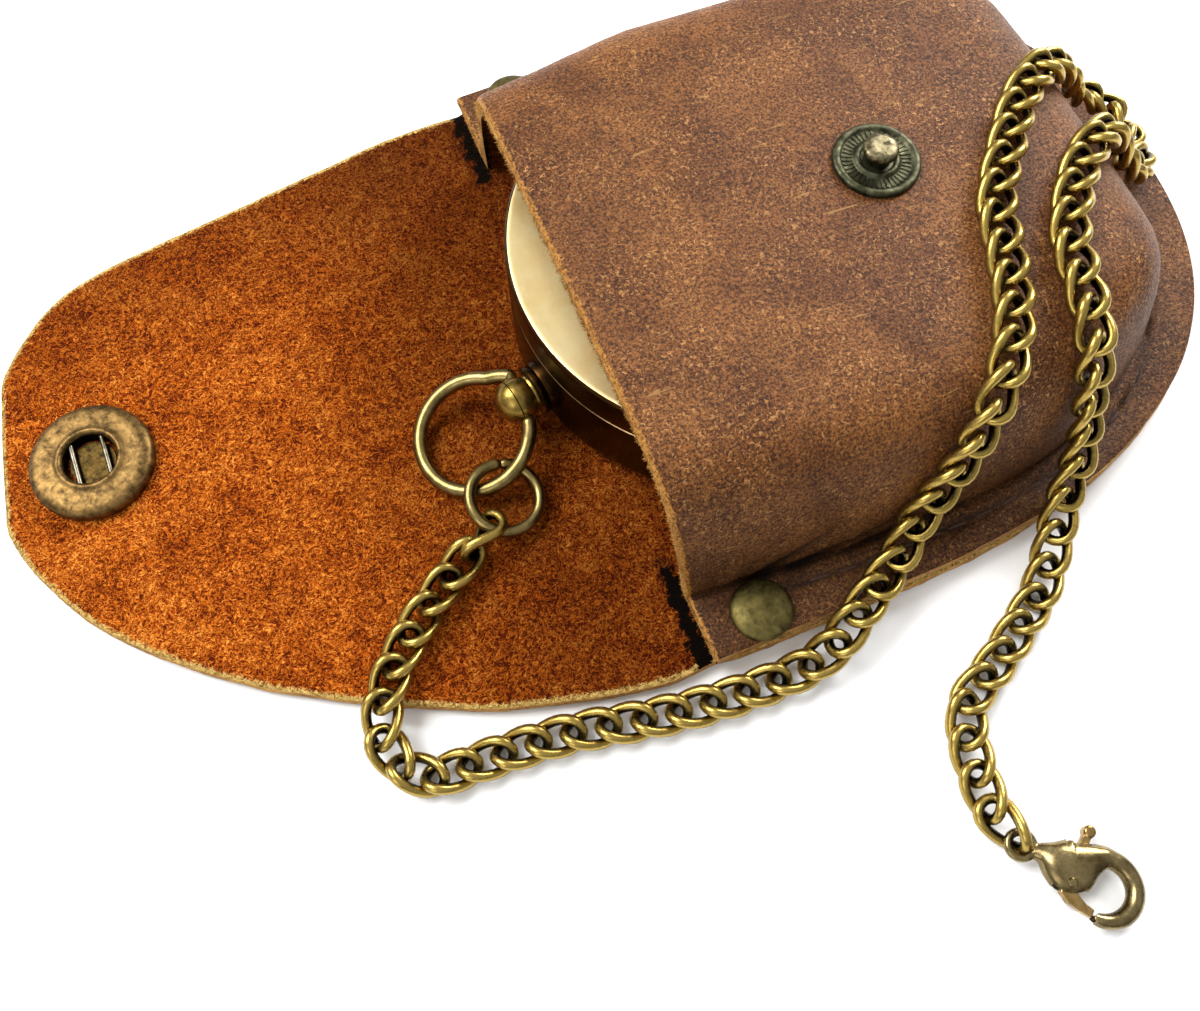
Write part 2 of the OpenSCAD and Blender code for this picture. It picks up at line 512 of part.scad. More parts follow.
module lid_catch() color([0.7, 0.7, 0.72]) difference() {
  rotate([0, 0, knob_a]) {
    translate([catch_r, -catch_w / 2, knob_z - catch_low])
      cube([catch_t, catch_w, lid_z + catch_up - knob_z + catch_low]);
    translate([catch_r + hook_from, -hook_w / 2, lid_z + hook_up])
      cube([hook_t, hook_w, hook_h]);
  }
  knob_axis() translate([0, 0, catch_r]) cylinder(r = stem_r + fit / 2, h = through, $fn = 32);
}
module rod(a, b, r) {
  d = b - a;
  translate(a) rotate([0, acos(d[2] / norm(d)), atan2(d[1], d[0])]) cylinder(r = r, h = norm(d), $fn = 32);
}
eye_y = 3.65 * unit;             // the bow's ends turn in to two pins in the ball
eye_r = 0.8 * unit;
arm_r = 0.7 * unit;
bow_pin_len = 1.7 * unit;
bow_pin_y = 2.9 * unit;
module bow() color(pale_brass) {
  translate(pivot_p) rotate([0, 0, knob_a]) rotate([0, tau, 0]) translate([bow_r, 0, 0])
    rotate([0, 0, bow_gap_a - 180]) rotate_extrude(angle = 360 - 2 * bow_gap_a, $fn = 72)
      translate([bow_r, 0]) circle(r = bow_wire / 2, $fn = 24);
  for (s = [-1, 1]) {
    e = pivot_p + bow_r * (1 - cos(bow_gap_a)) * bow_d - s * bow_r * sin(bow_gap_a) * dir(knob_a + 90);
    f = pivot_p + [0, s * eye_y, 0];
    translate(e) sphere(r = bow_wire / 2 + eps, $fn = 32);
    translate(f) sphere(r = eye_r, $fn = 32);
    rod(e, f, arm_r);
    translate(pivot_p) along_y(bow_pin_r, bow_pin_len, s * bow_pin_y);
  }
}
module jump_ring() color(brass) translate(jump_p) rotate(jump_tilt)
  rotate_extrude($fn = 64) translate([jump_r, 0]) circle(r = jump_wire / 2, $fn = 24);

/* chain and clasp */
module chain_flap() color(brass) links(0, 5);
module chain_corner() color(brass) links(6, 7);
module chain_edge() color(brass) links(8, 16);
module chain_knee() color(brass) links(17, 17);
module chain_rise() color(brass) links(18, 40);
module chain_return() color(brass) links(41, 70);
module chain_tail() color(brass) links(71, link_count - 1);

module clasp_place() translate(clasp_p) rotate([0, 0, clasp_a]) children();
clasp_len = 10 * unit;           // the outlines of the clasp are shares of this length, from its eye
slot_t = 1.3 * unit;
slot_shares = [[.42, -.4], [.96, -.4], [.96, -.1], [.69, -.04], [.66, .1], [.63, .6], [.29, .6], [.42, 0]];
module lever_slot() linear_extrude(slot_t, center = true) polygon(scaled(slot_shares, clasp_len, clasp_len));
clasp_shares = [[.13, .07], [.16, .12], [.22, .18], [.34, .29], [.48, .35], [.64, .36], [.76, .36], [.76, .22],
  [.7, .12], [.69, -.04], [.71, -.14], [.63, -.21], [.5, -.22], [.38, -.19], [.24, -.13], [.13, -.07]];
edge_t = 0.8 * unit;             // the body's faces are smaller than its middle, which rounds its edge
face_share = 0.9;
face_p = [0.45, 0.08] * unit;
clasp_eye_r = 1.3 * unit;
clasp_eye_wire = 0.45 * unit;
hook_p = [9.3, -0.1, 0] * unit;  // middle of the hook, the turn of its wire and its clear opening
hook_r = 3.2 * unit;
hook_wire = 0.95 * unit;
hook_in = 2.2 * unit;
axle_r = 0.5 * unit;
module clasp_body() color(brass) clasp_place() difference() {
  union() {
    linear_extrude(clasp_t - edge_t, center = true) polygon(scaled(clasp_shares, clasp_len, clasp_len));
    linear_extrude(clasp_t, center = true) translate(face_p)
      scale(face_share) polygon(scaled(clasp_shares, clasp_len, clasp_len));
    rotate_extrude($fn = 32) translate([clasp_eye_r, 0]) circle(r = clasp_eye_wire, $fn = 16);
    translate(hook_p) rotate([0, 0, -58]) rotate_extrude(angle = 186, $fn = 64)
      translate([hook_r, 0]) circle(r = hook_wire, $fn = 24);
  }
  translate(hook_p) cylinder(r = hook_in, h = through, center = true, $fn = 48);
  lever_slot();
  translate(lever_p) cylinder(r = axle_r + fit, h = through, center = true, $fn = 24);
  cylinder(r = clasp_eye_r - clasp_eye_wire, h = through, center = true, $fn = 24);
}
lever_t = 1.1 * unit;
lever_shares = [[.49, -.14], [.49, .06], [.485, .43], [.59, .43], [.6, .08], [.64, -.06], [.72, -.15], [.84, -.2],
  [.975, -.195], [.99, -.25], [.9, -.3], [.74, -.31], [.56, -.22]];
thumb_p = [5.4, 4.75, 0] * unit; // the thumb knob on the lever
thumb_r = 0.75 * unit;
thumb_h = 1.9 * unit;
module clasp_lever() color(pale_brass) clasp_place() difference() {
  union() {
    linear_extrude(lever_t, center = true) polygon(scaled(lever_shares, clasp_len, clasp_len));
    translate(thumb_p) cylinder(r = thumb_r, h = thumb_h, center = true, $fn = 32);
  }
  translate(lever_p) cylinder(r = axle_r + gap / 2, h = through, center = true, $fn = 24);
}
axle_less = 0.1 * unit;          // the rivet ends just inside the clasp's faces
module clasp_rivet() color(brass) clasp_place() translate(lever_p)
  cylinder(r = axle_r, h = clasp_t - axle_less, center = true, $fn = 24);

back_panel();
front_panel();
flap_bend();
flap();
rivet_caps();
rivet_backs();
snap_stud();
stud_eyelet();
snap_socket();
snap_spring();
snap_cap();
compass_case();
lid();
lid_hinge_pin();
dial();
pivot_pin();
needle();
needle_cap();
spacer_ring();
glass();
bezel_ring();
knob_collar();
push_button();
button_spring();
lid_catch();
bow();
jump_ring();
chain_flap();
chain_corner();
chain_edge();
chain_knee();
chain_rise();
chain_return();
chain_tail();
clasp_body();
clasp_lever();
clasp_rivet();
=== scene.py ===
# A 50 mm brass pocket compass in a moulded leather belt pouch, on a curb chain with a lobster clasp.
import math
from functools import partial

import bmesh
import bpy
import numpy as np
from mathutils import Euler, Matrix, Vector, noise


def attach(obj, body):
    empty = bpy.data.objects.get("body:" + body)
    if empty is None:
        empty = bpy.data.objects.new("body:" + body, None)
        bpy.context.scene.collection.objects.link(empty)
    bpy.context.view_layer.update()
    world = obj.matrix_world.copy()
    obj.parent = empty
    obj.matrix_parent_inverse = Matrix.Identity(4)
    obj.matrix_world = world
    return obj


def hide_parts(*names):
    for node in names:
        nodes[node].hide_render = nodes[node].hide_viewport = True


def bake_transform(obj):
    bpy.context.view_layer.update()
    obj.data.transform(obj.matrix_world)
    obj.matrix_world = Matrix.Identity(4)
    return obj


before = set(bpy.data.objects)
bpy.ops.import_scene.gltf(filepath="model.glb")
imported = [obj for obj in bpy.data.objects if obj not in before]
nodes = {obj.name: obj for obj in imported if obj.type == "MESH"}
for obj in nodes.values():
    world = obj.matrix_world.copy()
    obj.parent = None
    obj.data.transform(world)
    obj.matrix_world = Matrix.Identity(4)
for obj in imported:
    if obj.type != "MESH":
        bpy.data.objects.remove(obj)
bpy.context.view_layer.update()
mm = 0.001  # every table below is in millimetres
print("frame loaded,", len(nodes), "nodes")


# Camera: the photograph's view, fitted to the case, the rivets and the socket
view = {"place": (-42.4456, -63.3157, 123.615), "aim": (-23.0635, -18.1592, 0), "roll": 0.72, "lens": 34.5,
        "sensor": 36, "clip": 0.005}


def addObject(name, data):
    thing = bpy.data.objects.new(name, data)
    bpy.context.scene.collection.objects.link(thing)
    return thing


def addCamera():
    camera = addObject("camera", bpy.data.cameras.new("camera"))
    forward = (Vector(view["aim"]) - Vector(view["place"])).normalized()
    right = forward.cross(Vector((0, 0, 1))).normalized()
    up = right.cross(forward)
    turn = math.radians(view["roll"])
    across = right * math.cos(turn) + up * math.sin(turn)
    upward = up * math.cos(turn) - right * math.sin(turn)
    camera.matrix_world = Matrix((across, upward, -forward)).transposed().to_4x4()
    camera.location = Vector(view["place"]) * mm
    camera.data.lens = view["lens"]
    camera.data.sensor_width = view["sensor"]
    camera.data.clip_start = view["clip"]
    bpy.context.scene.camera = camera


addCamera()


# Small helpers for colours and nodes
def colour(code):
    parts = (int(code[i:i + 2], 16) / 255 for i in (1, 3, 5))
    return tuple(c / 12.92 if c <= 0.04045 else ((c + 0.055) / 1.055) ** 2.4 for c in parts) + (1.0,)


def setInputs(tree, node, inputs):
    # an input is a number, a colour code, a socket, or a node whose live output is used
    for socket, value in inputs.items() if isinstance(inputs, dict) else enumerate(inputs):
        if isinstance(value, bpy.types.Node):
            value = next(output for output in value.outputs if output.enabled)
        if isinstance(value, bpy.types.NodeSocket):
            tree.links.new(value, node.inputs[socket])
        else:
            node.inputs[socket].default_value = colour(value) if str(value).startswith("#") else value


def addNode(tree, kind, inputs=(), stops=(), **settings):
    # a kind without Node in it is a shader node; stops fill a colour ramp
    node = tree.nodes.new(kind if "Node" in kind else "ShaderNode" + kind)
    for name, value in settings.items():
        setattr(node, name, value)
    setInputs(tree, node, inputs)
    for k, (where, shade) in enumerate(stops):
        bands = node.color_ramp.elements
        band = bands[k] if k < 2 else bands.new(where)
        band.position = where
        band.color = colour(shade) if isinstance(shade, str) else (shade, shade, shade, 1.0)
    return node


# Helpers for meshes; a part is its points and its faces
def addMesh(name, points, faces, materials, indices=None, smoothAngle=40):
    mesh = bpy.data.meshes.new(name)
    mesh.from_pydata([tuple(float(c) * mm for c in p) for p in points], [], [list(map(int, f)) for f in faces])
    shell = bmesh.new()
    shell.from_mesh(mesh)
    bmesh.ops.recalc_face_normals(shell, faces=shell.faces)
    shell.to_mesh(mesh)
    shell.free()
    for material in materials:
        mesh.materials.append(material)
    mesh.polygons.foreach_set("use_smooth", [True] * len(mesh.polygons))
    if indices is not None:
        mesh.polygons.foreach_set("material_index", [int(i) for i in indices])
    mesh.set_sharp_from_angle(angle=math.radians(smoothAngle))
    mesh.update()
    return addObject(name, mesh)


def addShade(piece, name, values):
    # one number per point for the finish to read; points past the list get zero
    shade = piece.data.attributes.new(name, "FLOAT", "POINT")
    filled = np.zeros(len(piece.data.vertices), np.float32)
    filled[:len(values)] = values
    shade.data.foreach_set("value", filled)


def finish(piece, body, slot, *replaced):
    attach(piece, body)
    if replaced:
        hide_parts(*replaced)


def placed(part, matrix):
    points, faces = part
    m = np.array(matrix, float)
    return points @ m[:3, :3].T + m[:3, 3], faces


def addPiece(name, part, materials, body, slot, node, angle=40, rule=None, place=None):
    # a rule picks each face's material by the face's middle, before the part goes to its place
    points, faces = part
    kinds = rule and [rule(*np.mean([points[v] for v in face], axis=0)) for face in faces]
    if place:
        points, faces = placed(part, place)
    finish(addMesh(name, points, faces, materials, kinds, angle), body, slot, node)


def smoothLine(points, steps):
    # a curve through every point, with some steps from one to the next
    p = np.array(points, float)
    out = []
    for k in range(len(p) - 1):
        a, b, c, d = p[max(k - 1, 0)], p[k], p[k + 1], p[min(k + 2, len(p) - 1)]
        for t in np.arange(steps) / steps:
            out.append(0.5 * (2 * b + (c - a) * t + (2 * a - 5 * b + 4 * c - d) * t * t
                              + (3 * b - a - 3 * c + d) * t ** 3))
    return np.array(out + [p[-1]])


def lengths(line):
    return np.concatenate([[0], np.cumsum(np.linalg.norm(np.diff(line, axis=0), axis=1))])


def at(way, line, s):
    # the place on a line at a distance along it
    return np.array([np.interp(s, way, column) for column in line.T])


def circle(radius, steps, z=0.0):
    return [(radius * math.cos(a), radius * math.sin(a), z) for a in (2 * math.pi * k / steps for k in range(steps))]


def lathe(profile, segments=96, closed=False):
    # points are (radius, height); a radius of zero makes a pole
    points, faces, rings = [], [], []
    for r, z in profile:
        rings.append([len(points)] * segments if r <= 0 else list(range(len(points), len(points) + segments)))
        points += [(0, 0, z)] if r <= 0 else circle(r, segments, z)
    for i in range(len(rings) if closed else len(rings) - 1):
        low, high = rings[i], rings[(i + 1) % len(rings)]
        for k in range(segments):
            j = (k + 1) % segments
            face = [low[k], low[j], high[j], high[k]]
            face = [v for n, v in enumerate(face) if v not in face[:n]]
            if len(face) > 2:
                faces.append(face)
    return np.array(points, float), faces


def sweep(path, radii, sides=16, closed=False, start=(0, 0, 1)):
    # a wire along a path, its section carried along without twist; a radius may be a pair
    path = np.array(path, float)
    n = len(path)
    radii = [radii] * n if np.isscalar(radii) else radii
    radii = np.array([(r, r) if np.isscalar(r) else r for r in radii], float)
    ahead = np.roll(path, -1, 0) - np.roll(path, 1, 0)
    if not closed:
        ahead[0], ahead[-1] = path[1] - path[0], path[-1] - path[-2]
    ahead /= np.linalg.norm(ahead, axis=1)[:, None]
    across = np.cross(ahead[0], start)
    points = []
    for middle, t, (wide, high) in zip(path, ahead, radii):
        across = across - t * (across @ t)
        across /= np.linalg.norm(across)
        points += [middle + wide * x * across + high * y * np.cross(t, across) for x, y, z in circle(1, sides)]
    faces = [[i * sides + k, i * sides + (k + 1) % sides, ((i + 1) % n) * sides + (k + 1) % sides,
              ((i + 1) % n) * sides + k] for i in range(n if closed else n - 1) for k in range(sides)]
    if not closed:
        faces += [list(range(sides))[::-1], [(n - 1) * sides + k for k in range(sides)]]
    return np.array(points), faces


def joined(*parts):
    points, faces, count = [], [], 0
    for p, f in parts:
        points.append(np.array(p, float).reshape(-1, 3))
        faces += [[v + count for v in face] for face in f]
        count += len(points[-1])
    return np.concatenate(points), faces


# Shared sizes of the compass and the pouch, the same as in the part's source
compass = {"knobTurn": 190.9, "knobZ": 7.2, "ballR": 2.6, "ballRho": 28.4, "splitRho": 28.95, "hingeRho": 26.4,
           "hingeZ": 12.45}
pouch = {"backX": 59.0, "backY": 41.0, "seamY": 35.0, "mouthX": -18.8, "mouthNear": 33.2, "mouthFar": 31.5,
         "narrowX": 10.0, "narrowRun": 42.0, "tipWidth": 5.0, "tipMargin": 1.5, "domeX": 24.0, "domeRun": 28.0,
         "domeHigh": 16.75, "mouthRise": 1.5, "board": 2.0, "front": 1.8, "lean": 1.2 / 18, "leanFrom": -12,
         "leanRun": 6.8, "flapLong": 67.3, "flapWide": 40.5}
marginZ = pouch["board"] + pouch["front"]


# Materials: each noise is its size in mm, detail, roughness and distortion; a range is from and to
def newMaterial(name, noises=()):
    material = bpy.data.materials.new(name)
    material.use_nodes = True
    tree = material.node_tree
    shader = next(n for n in tree.nodes if n.type == "BSDF_PRINCIPLED")
    add = partial(addNode, tree)
    place = add("TexCoord").outputs["Object"]
    patterns = [add("TexNoise", {"Vector": place, "Scale": 1 / (size * mm), "Detail": detail, "Roughness": rough,
                                 "Distortion": bend}) for size, detail, rough, bend in noises]
    return material, add, partial(setInputs, tree, shader), place, *patterns


def raggedRim(add, pattern, share, *span):
    # how much of the pale core shows at a cut edge, broken up by a pattern
    rim = add("Attribute", attribute_name="rim").outputs["Fac"]
    ragged = add("Math", [pattern, share, rim], operation="MULTIPLY_ADD")
    return add("MapRange", [ragged, *span, 0.0, 1.0])


# Oiled pull-up cowhide, grain side: tan rub marks as fine as sand over a dark brown dye, with painted shade in the
# folds and at the foot of the moulding, a few long pale scratches and a pale rim where it is cut
hide = {"noises": [(12.0, 4.0, 0.6, 0.3), (0.3, 3.0, 0.75, 0.0), (0.42, 2.0, 0.6, 1.0), (7.0, 3.0, 0.5, 0.0)],
        "dark": [(0.4, "#2a150a"), (0.6, "#3c2110")], "light": [(0.4, "#683d1a"), (0.6, "#825227")],
        "fine": [(0.4, 0.0), (0.6, 1.0), (0.5, 0.45)], "dots": [(0.57, 0.0), (0.66, 0.75)],
        "often": [(0.38, 0.25), (0.62, 1.0)], "core": [(0.38, "#5c3511"), (0.6, "#ac7836")],
        "rub": "#b1804c", "scratch": "#a9824a", "shadow": "#120a06", "foldShare": -0.6,
        "drawn": {"Rotation": (0.0, 0.25, 0.5), "Scale": (0.08, 1.0, 1.0)},
        "slow": {"Scale": 1 / (0.42 * mm), "Detail": 2.0, "Roughness": 0.55, "Distortion": 0.6},
        "peaks": (0.68, 0.74, 0.0, 0.45), "rim": (0.9, 0.95, 1.1), "foot": (0.0035, 0.012, 0.55, 1.0),
        "end": (0.030, 0.055, 0.0, 0.5), "rough": (0.35, 0.65, 0.62, 0.42), "gloss": 0.14,
        "bump": {"Strength": 0.5, "Distance": 0.22 * mm}}


def makeHide():
    material, add, shade, place, patch, grainy, mark, where = newMaterial("oiledPullUpHide", hide["noises"])
    dark, light, fine, dots, often, core = (
        add("ValToRGB", [pattern], hide[stops])
        for pattern, stops in ((patch, "dark"), (patch, "light"), (grainy, "fine"), (mark, "dots"), (where, "often"),
                               (grainy, "core")))
    rubbed = add("Math", [dots, often], operation="MULTIPLY")  # closer together in some places than in others
    # scratches are the peaks of a noise drawn out along the pouch
    slow = add("TexNoise", {"Vector": add("Mapping", {"Vector": place, **hide["drawn"]}), **hide["slow"]})
    line = add("MapRange", [slow, *hide["peaks"]])
    # painted shade: the foot of the moulding and its folds are painted darker, where shade falls; this painted shade
    # fades towards the far end
    creaseShade = add("Attribute", attribute_name="creaseShade").outputs["Fac"]
    spot = add("SeparateXYZ", [place]).outputs
    foot = add("MapRange", [spot["Z"], *hide["foot"]])
    end = add("MapRange", [spot["X"], *hide["end"]])
    lightening = add("Math", [foot, end], operation="ADD", use_clamp=True)
    folded = add("Math", [creaseShade, hide["foldShare"], lightening], operation="MULTIPLY_ADD", use_clamp=True)
    for factor, under, over in ((fine, dark, light), (rubbed, None, hide["rub"]), (line, None, hide["scratch"]),
                                (folded, hide["shadow"], None), (raggedRim(add, mark, *hide["rim"]), None, core)):
        base = add("Mix", {0: factor, 6: under or base, 7: over or base}, data_type="RGBA")
    shade({"Base Color": base, "Roughness": add("MapRange", [grainy, *hide["rough"]]),
           "Specular IOR Level": hide["gloss"], "Normal": add("Bump", {"Height": grainy, **hide["bump"]})})
    return material


# Suede, the flesh side of the same hide: curled fibres with bright tips over a dark ground, brushed into patches;
# it gets painted shade near the case and on the far side, its rim shows the pale undyed core, and black edge dye is
# brushed on beside the front panel's corners
nap = {"noises": [(8.0, 4.0, 0.6, 0.9), (0.55, 3.0, 0.7, 1.5), (1.5, 2.0, 0.6, 2.4), (1.1, 2.0, 0.6, 1.4),
                  (1.3, 4.0, 0.75, 0.0)],
       "tone": [(0.46, "#451503"), (1.0, "#e8963e"), (0.66, "#943d08"), (0.84, "#c06012")], "curlWide": 0.06,
       "shares": (-0.187, 0.95, 0.4, 0.45), "nearCase": (0.014, -0.046, -0.024, 1.0, 0.5),
       "farSide": (0.016, 0.022, 0.044, 1.0, 0.55), "shadow": "#1c0400", "rim": (0.9, 0.92, 1.12),
       "core": [(0.36, "#7d5a22"), (0.58, "#d9b56a")], "dye": "#050302", "bandX": -0.0171, "bandRag": 0.005,
       "band": (0.9 * mm, 1.25 * mm, 1.0, 0.0), "endRag": 0.006, "ends": (0.0305, 0.0315, 0.0, 1.0),
       "curlHigh": 0.8, "bump": {"Strength": 0.7, "Distance": 0.5 * mm},
       "finish": {"Roughness": 0.95, "Specular IOR Level": 0.05, "Sheen Weight": 0.03, "Sheen Roughness": 0.4,
                  "Sheen Tint": "#f0a860"}}


def makeSuede():
    material, add, shade, place, brushed, ground, *bent, brush = newMaterial("suedeRustNap", nap["noises"])
    curls = []
    for pattern in bent:  # each curl is a level line of a warped noise
        away = add("Math", [add("Math", [pattern, 0.5], operation="SUBTRACT")], operation="ABSOLUTE")
        curls.append(add("MapRange", [away, 0.0, nap["curlWide"], 1.0, 0.0]))
    curl = add("Math", curls, operation="MAXIMUM")
    tone, *shares = nap["shares"]
    for layer, share in zip((ground, curl, brushed), shares):
        tone = add("Math", [layer, share, tone], operation="MULTIPLY_ADD")
    # painted shade: near the case and on the far side the suede is painted darker, where the pouch and the case shade
    # it and the nap lies away from the eye
    spot = add("SeparateXYZ", [place]).outputs
    dim = []
    for axis, (rag, *span) in (("X", nap["nearCase"]), ("Y", nap["farSide"])):
        drift = add("Math", [brushed, rag, spot[axis]], operation="MULTIPLY_ADD")
        dim.append(add("MapRange", [drift, *span]))
    # the dyed band is ragged along its sides and at its ends
    rag = add("Math", [brush, nap["bandRag"], spot["X"]], operation="MULTIPLY_ADD")
    off = add("Math", [add("Math", [rag, nap["bandX"]], operation="SUBTRACT")], operation="ABSOLUTE")
    side = add("Math", [brush, nap["endRag"], add("Math", [spot["Y"]], operation="ABSOLUTE")],
               operation="MULTIPLY_ADD")
    dyed = add("Math", [add("MapRange", [off, *nap["band"]]), add("MapRange", [side, *nap["ends"]])],
               operation="MULTIPLY")
    base = add("ValToRGB", [tone], nap["tone"])
    for factor, under, over in ((add("Math", dim, operation="MULTIPLY"), nap["shadow"], base),
                                (raggedRim(add, ground, *nap["rim"]), None, add("ValToRGB", [ground], nap["core"])),
                                (dyed, None, nap["dye"])):
        base = add("Mix", {0: factor, 6: under or base, 7: over}, data_type="RGBA")
    height = add("Math", [curl, nap["curlHigh"], ground], operation="MULTIPLY_ADD")
    shade({"Base Color": base, "Normal": add("Bump", {"Height": height, **nap["bump"]}), **nap["finish"]})
    return material


# Raw cut edge of vegetable-tanned split: pale yellow tan, with layers and loose fibres
rawCut = {"noises": [(0.5, 4.0, 0.75, 0.0), (4.0, 3.0, 0.6, 0.0)], "bump": {"Strength": 0.8, "Distance": 0.3 * mm},
          "tone": [(0.32, "#5a3813"), (0.64, "#c09248"), (0.46, "#946526")], "rough": 0.9}


def makeRawEdge():
    material, add, shade, place, fibre, patch = newMaterial("rawCutEdge", rawCut["noises"])
    tone = add("Math", [add("Math", [fibre, patch], operation="ADD"), 0.5], operation="MULTIPLY")
    shade({"Base Color": add("ValToRGB", [tone], rawCut["tone"]), "Roughness": rawCut["rough"],
           "Normal": add("Bump", {"Height": fibre, **rawCut["bump"]})})
    return material


# Metals: a plated or lacquered base with a darker patina in patches; a named point attribute can add a lighter worn
# tone on the high spots and painted shade in the hollows
metal = {"patina": (5.0, 0.65, 0.3), "grit": (0.35, 3.0, 0.6, 0.0), "gritSpan": (0.3, 0.7), "wearShadeSpan": (0.42, 0.88),
         "scratchDeep": 0.05 * mm}


def makeMetal(name, dark, light, rough, size, spread=(0.35, 0.65), lightening=None, scratches=0.0):
    # two colours, roughness from and to, the patina's size in mm and how sharply it turns
    noises = [(size, *metal["patina"]), metal["grit"]]
    material, add, shade, place, patina, grit = newMaterial(name, noises)
    factor = add("MapRange", [patina, *spread])
    # a named attribute carries wear and painted shade: it lightens the rubbed outer sides and paints shade on the inner
    # ones
    if lightening:
        wear = add("Attribute", attribute_name=lightening).outputs["Fac"]
        soft = add("Math", [patina, 0.5, wear], operation="MULTIPLY_ADD")
        factor = add("MapRange", [soft, *metal["wearShadeSpan"]])
    shade({"Base Color": add("Mix", {0: factor, 6: dark, 7: light}, data_type="RGBA"), "Metallic": 1.0,
           "Roughness": add("MapRange", [grit, *metal["gritSpan"], *rough])})
    if scratches:
        shade({"Normal": add("Bump", {"Height": grit, "Strength": scratches, "Distance": metal["scratchDeep"]})})
    return material


# Waxed thread: twisted, so its tone changes along each stitch
def makeThread():
    material, add, shade, place, twist = newMaterial("waxedBrownThread", [(0.4, 4.0, 0.5, 0.0)])
    shade({"Base Color": add("ValToRGB", [twist], [(0.3, "#2c180e"), (0.7, "#4a2c1a")]), "Roughness": 0.75})
    return material


grain = makeHide()
suede = makeSuede()
rawEdge = makeRawEdge()
# the chain's point attribute paints shade inside each link as well as its rubbed bright outside
chainBrass = makeMetal("antiquePlatedChain", "#1a1205", "#a98f49", (0.24, 0.38), 1.6, lightening="wear")
bowBrass = makeMetal("antiqueBrassWire", "#564a26", "#9a8755", (0.27, 0.38), 1.8, (0.25, 0.7))
caseBronze = makeMetal("lacqueredDarkBronze", "#2a1808", "#3d2811", (0.26, 0.36), 6.0)
lidSatin = makeMetal("satinChampagneBrass", "#d6bb80", "#decb98", (0.38, 0.48), 5.0, scratches=0.12)
seamBright = makeMetal("polishedLidSeam", "#6e5638", "#a98c66", (0.2, 0.3), 3.0)
knobBrass = makeMetal("wornKnobBrass", "#5c4a1e", "#a88c46", (0.24, 0.38), 2.8, (0.25, 0.6))
rivetBrass = makeMetal("tarnishedRivetBrass", "#3b351e", "#75693c", (0.4, 0.6), 1.2, (0.3, 0.7), scratches=0.5)
studBronze = makeMetal("tarnishedSnapBronze", "#25251a", "#5b5a44", (0.4, 0.6), 1.0, (0.35, 0.7), scratches=0.5)
studTop = makeMetal("wornSnapHead", "#332d20", "#7a7054", (0.36, 0.5), 0.8, (0.38, 0.6), scratches=0.3)
socketBronze = makeMetal("wornSocketBronze", "#3a2c19", "#7c6138", (0.4, 0.55), 1.0, (0.34, 0.64), scratches=0.5)
darkHole = makeMetal("oxidisedHole", "#140f07", "#3a2c12", (0.25, 0.4), 0.8)
claspBrass = makeMetal("castClaspBrass", "#54462a", "#93825a", (0.2, 0.32), 2.2, (0.3, 0.62))
leverBrass = makeMetal("stampedGateBrass", "#7d6234", "#b49660", (0.24, 0.36), 1.8)
springSteel = makeMetal("springSteel", "#4c463a", "#7f7868", (0.3, 0.45), 1.5)
blued = makeMetal("bluedSteel", "#1b2444", "#2f3f74", (0.2, 0.3), 2.0)
threadBrown = makeThread()
print("materials made")


# The two leather panels are two skins with a cut edge between them, crowned and ragged
def skins(outer, inner):
    rows, columns = outer.shape[:2]
    half = rows * columns
    faces = []
    for a in (i * columns + j for i in range(rows - 1) for j in range(columns - 1)):
        faces += [[a, a + columns, a + columns + 1, a + 1],
                  [half + a, half + a + 1, half + a + columns + 1, half + a + columns]]
    return list(outer.reshape(-1, 3)) + list(inner.reshape(-1, 3)), faces, [0, 1] * (len(faces) // 2)


def cutEdge(panel, half, top, levels, crown, flip=False, closed=False):
    # rings of points from a line on the upper skin down to the same points of the lower one
    points, faces, kinds = panel
    n = len(top)
    ladder = [top]
    for t in levels:
        ladder.append(range(len(points), len(points) + n))
        points += [crown(k, points[a] + (points[half + a] - points[a]) * t, t) for k, a in enumerate(top)]
    ladder.append([half + a for a in top])
    for one, two in zip(ladder, ladder[1:]):
        for k in range(n if closed else n - 1):
            face = [one[k], one[(k + 1) % n], two[(k + 1) % n], two[k]]
            faces.append(face[::-1] if flip else face)
            kinds.append(2)


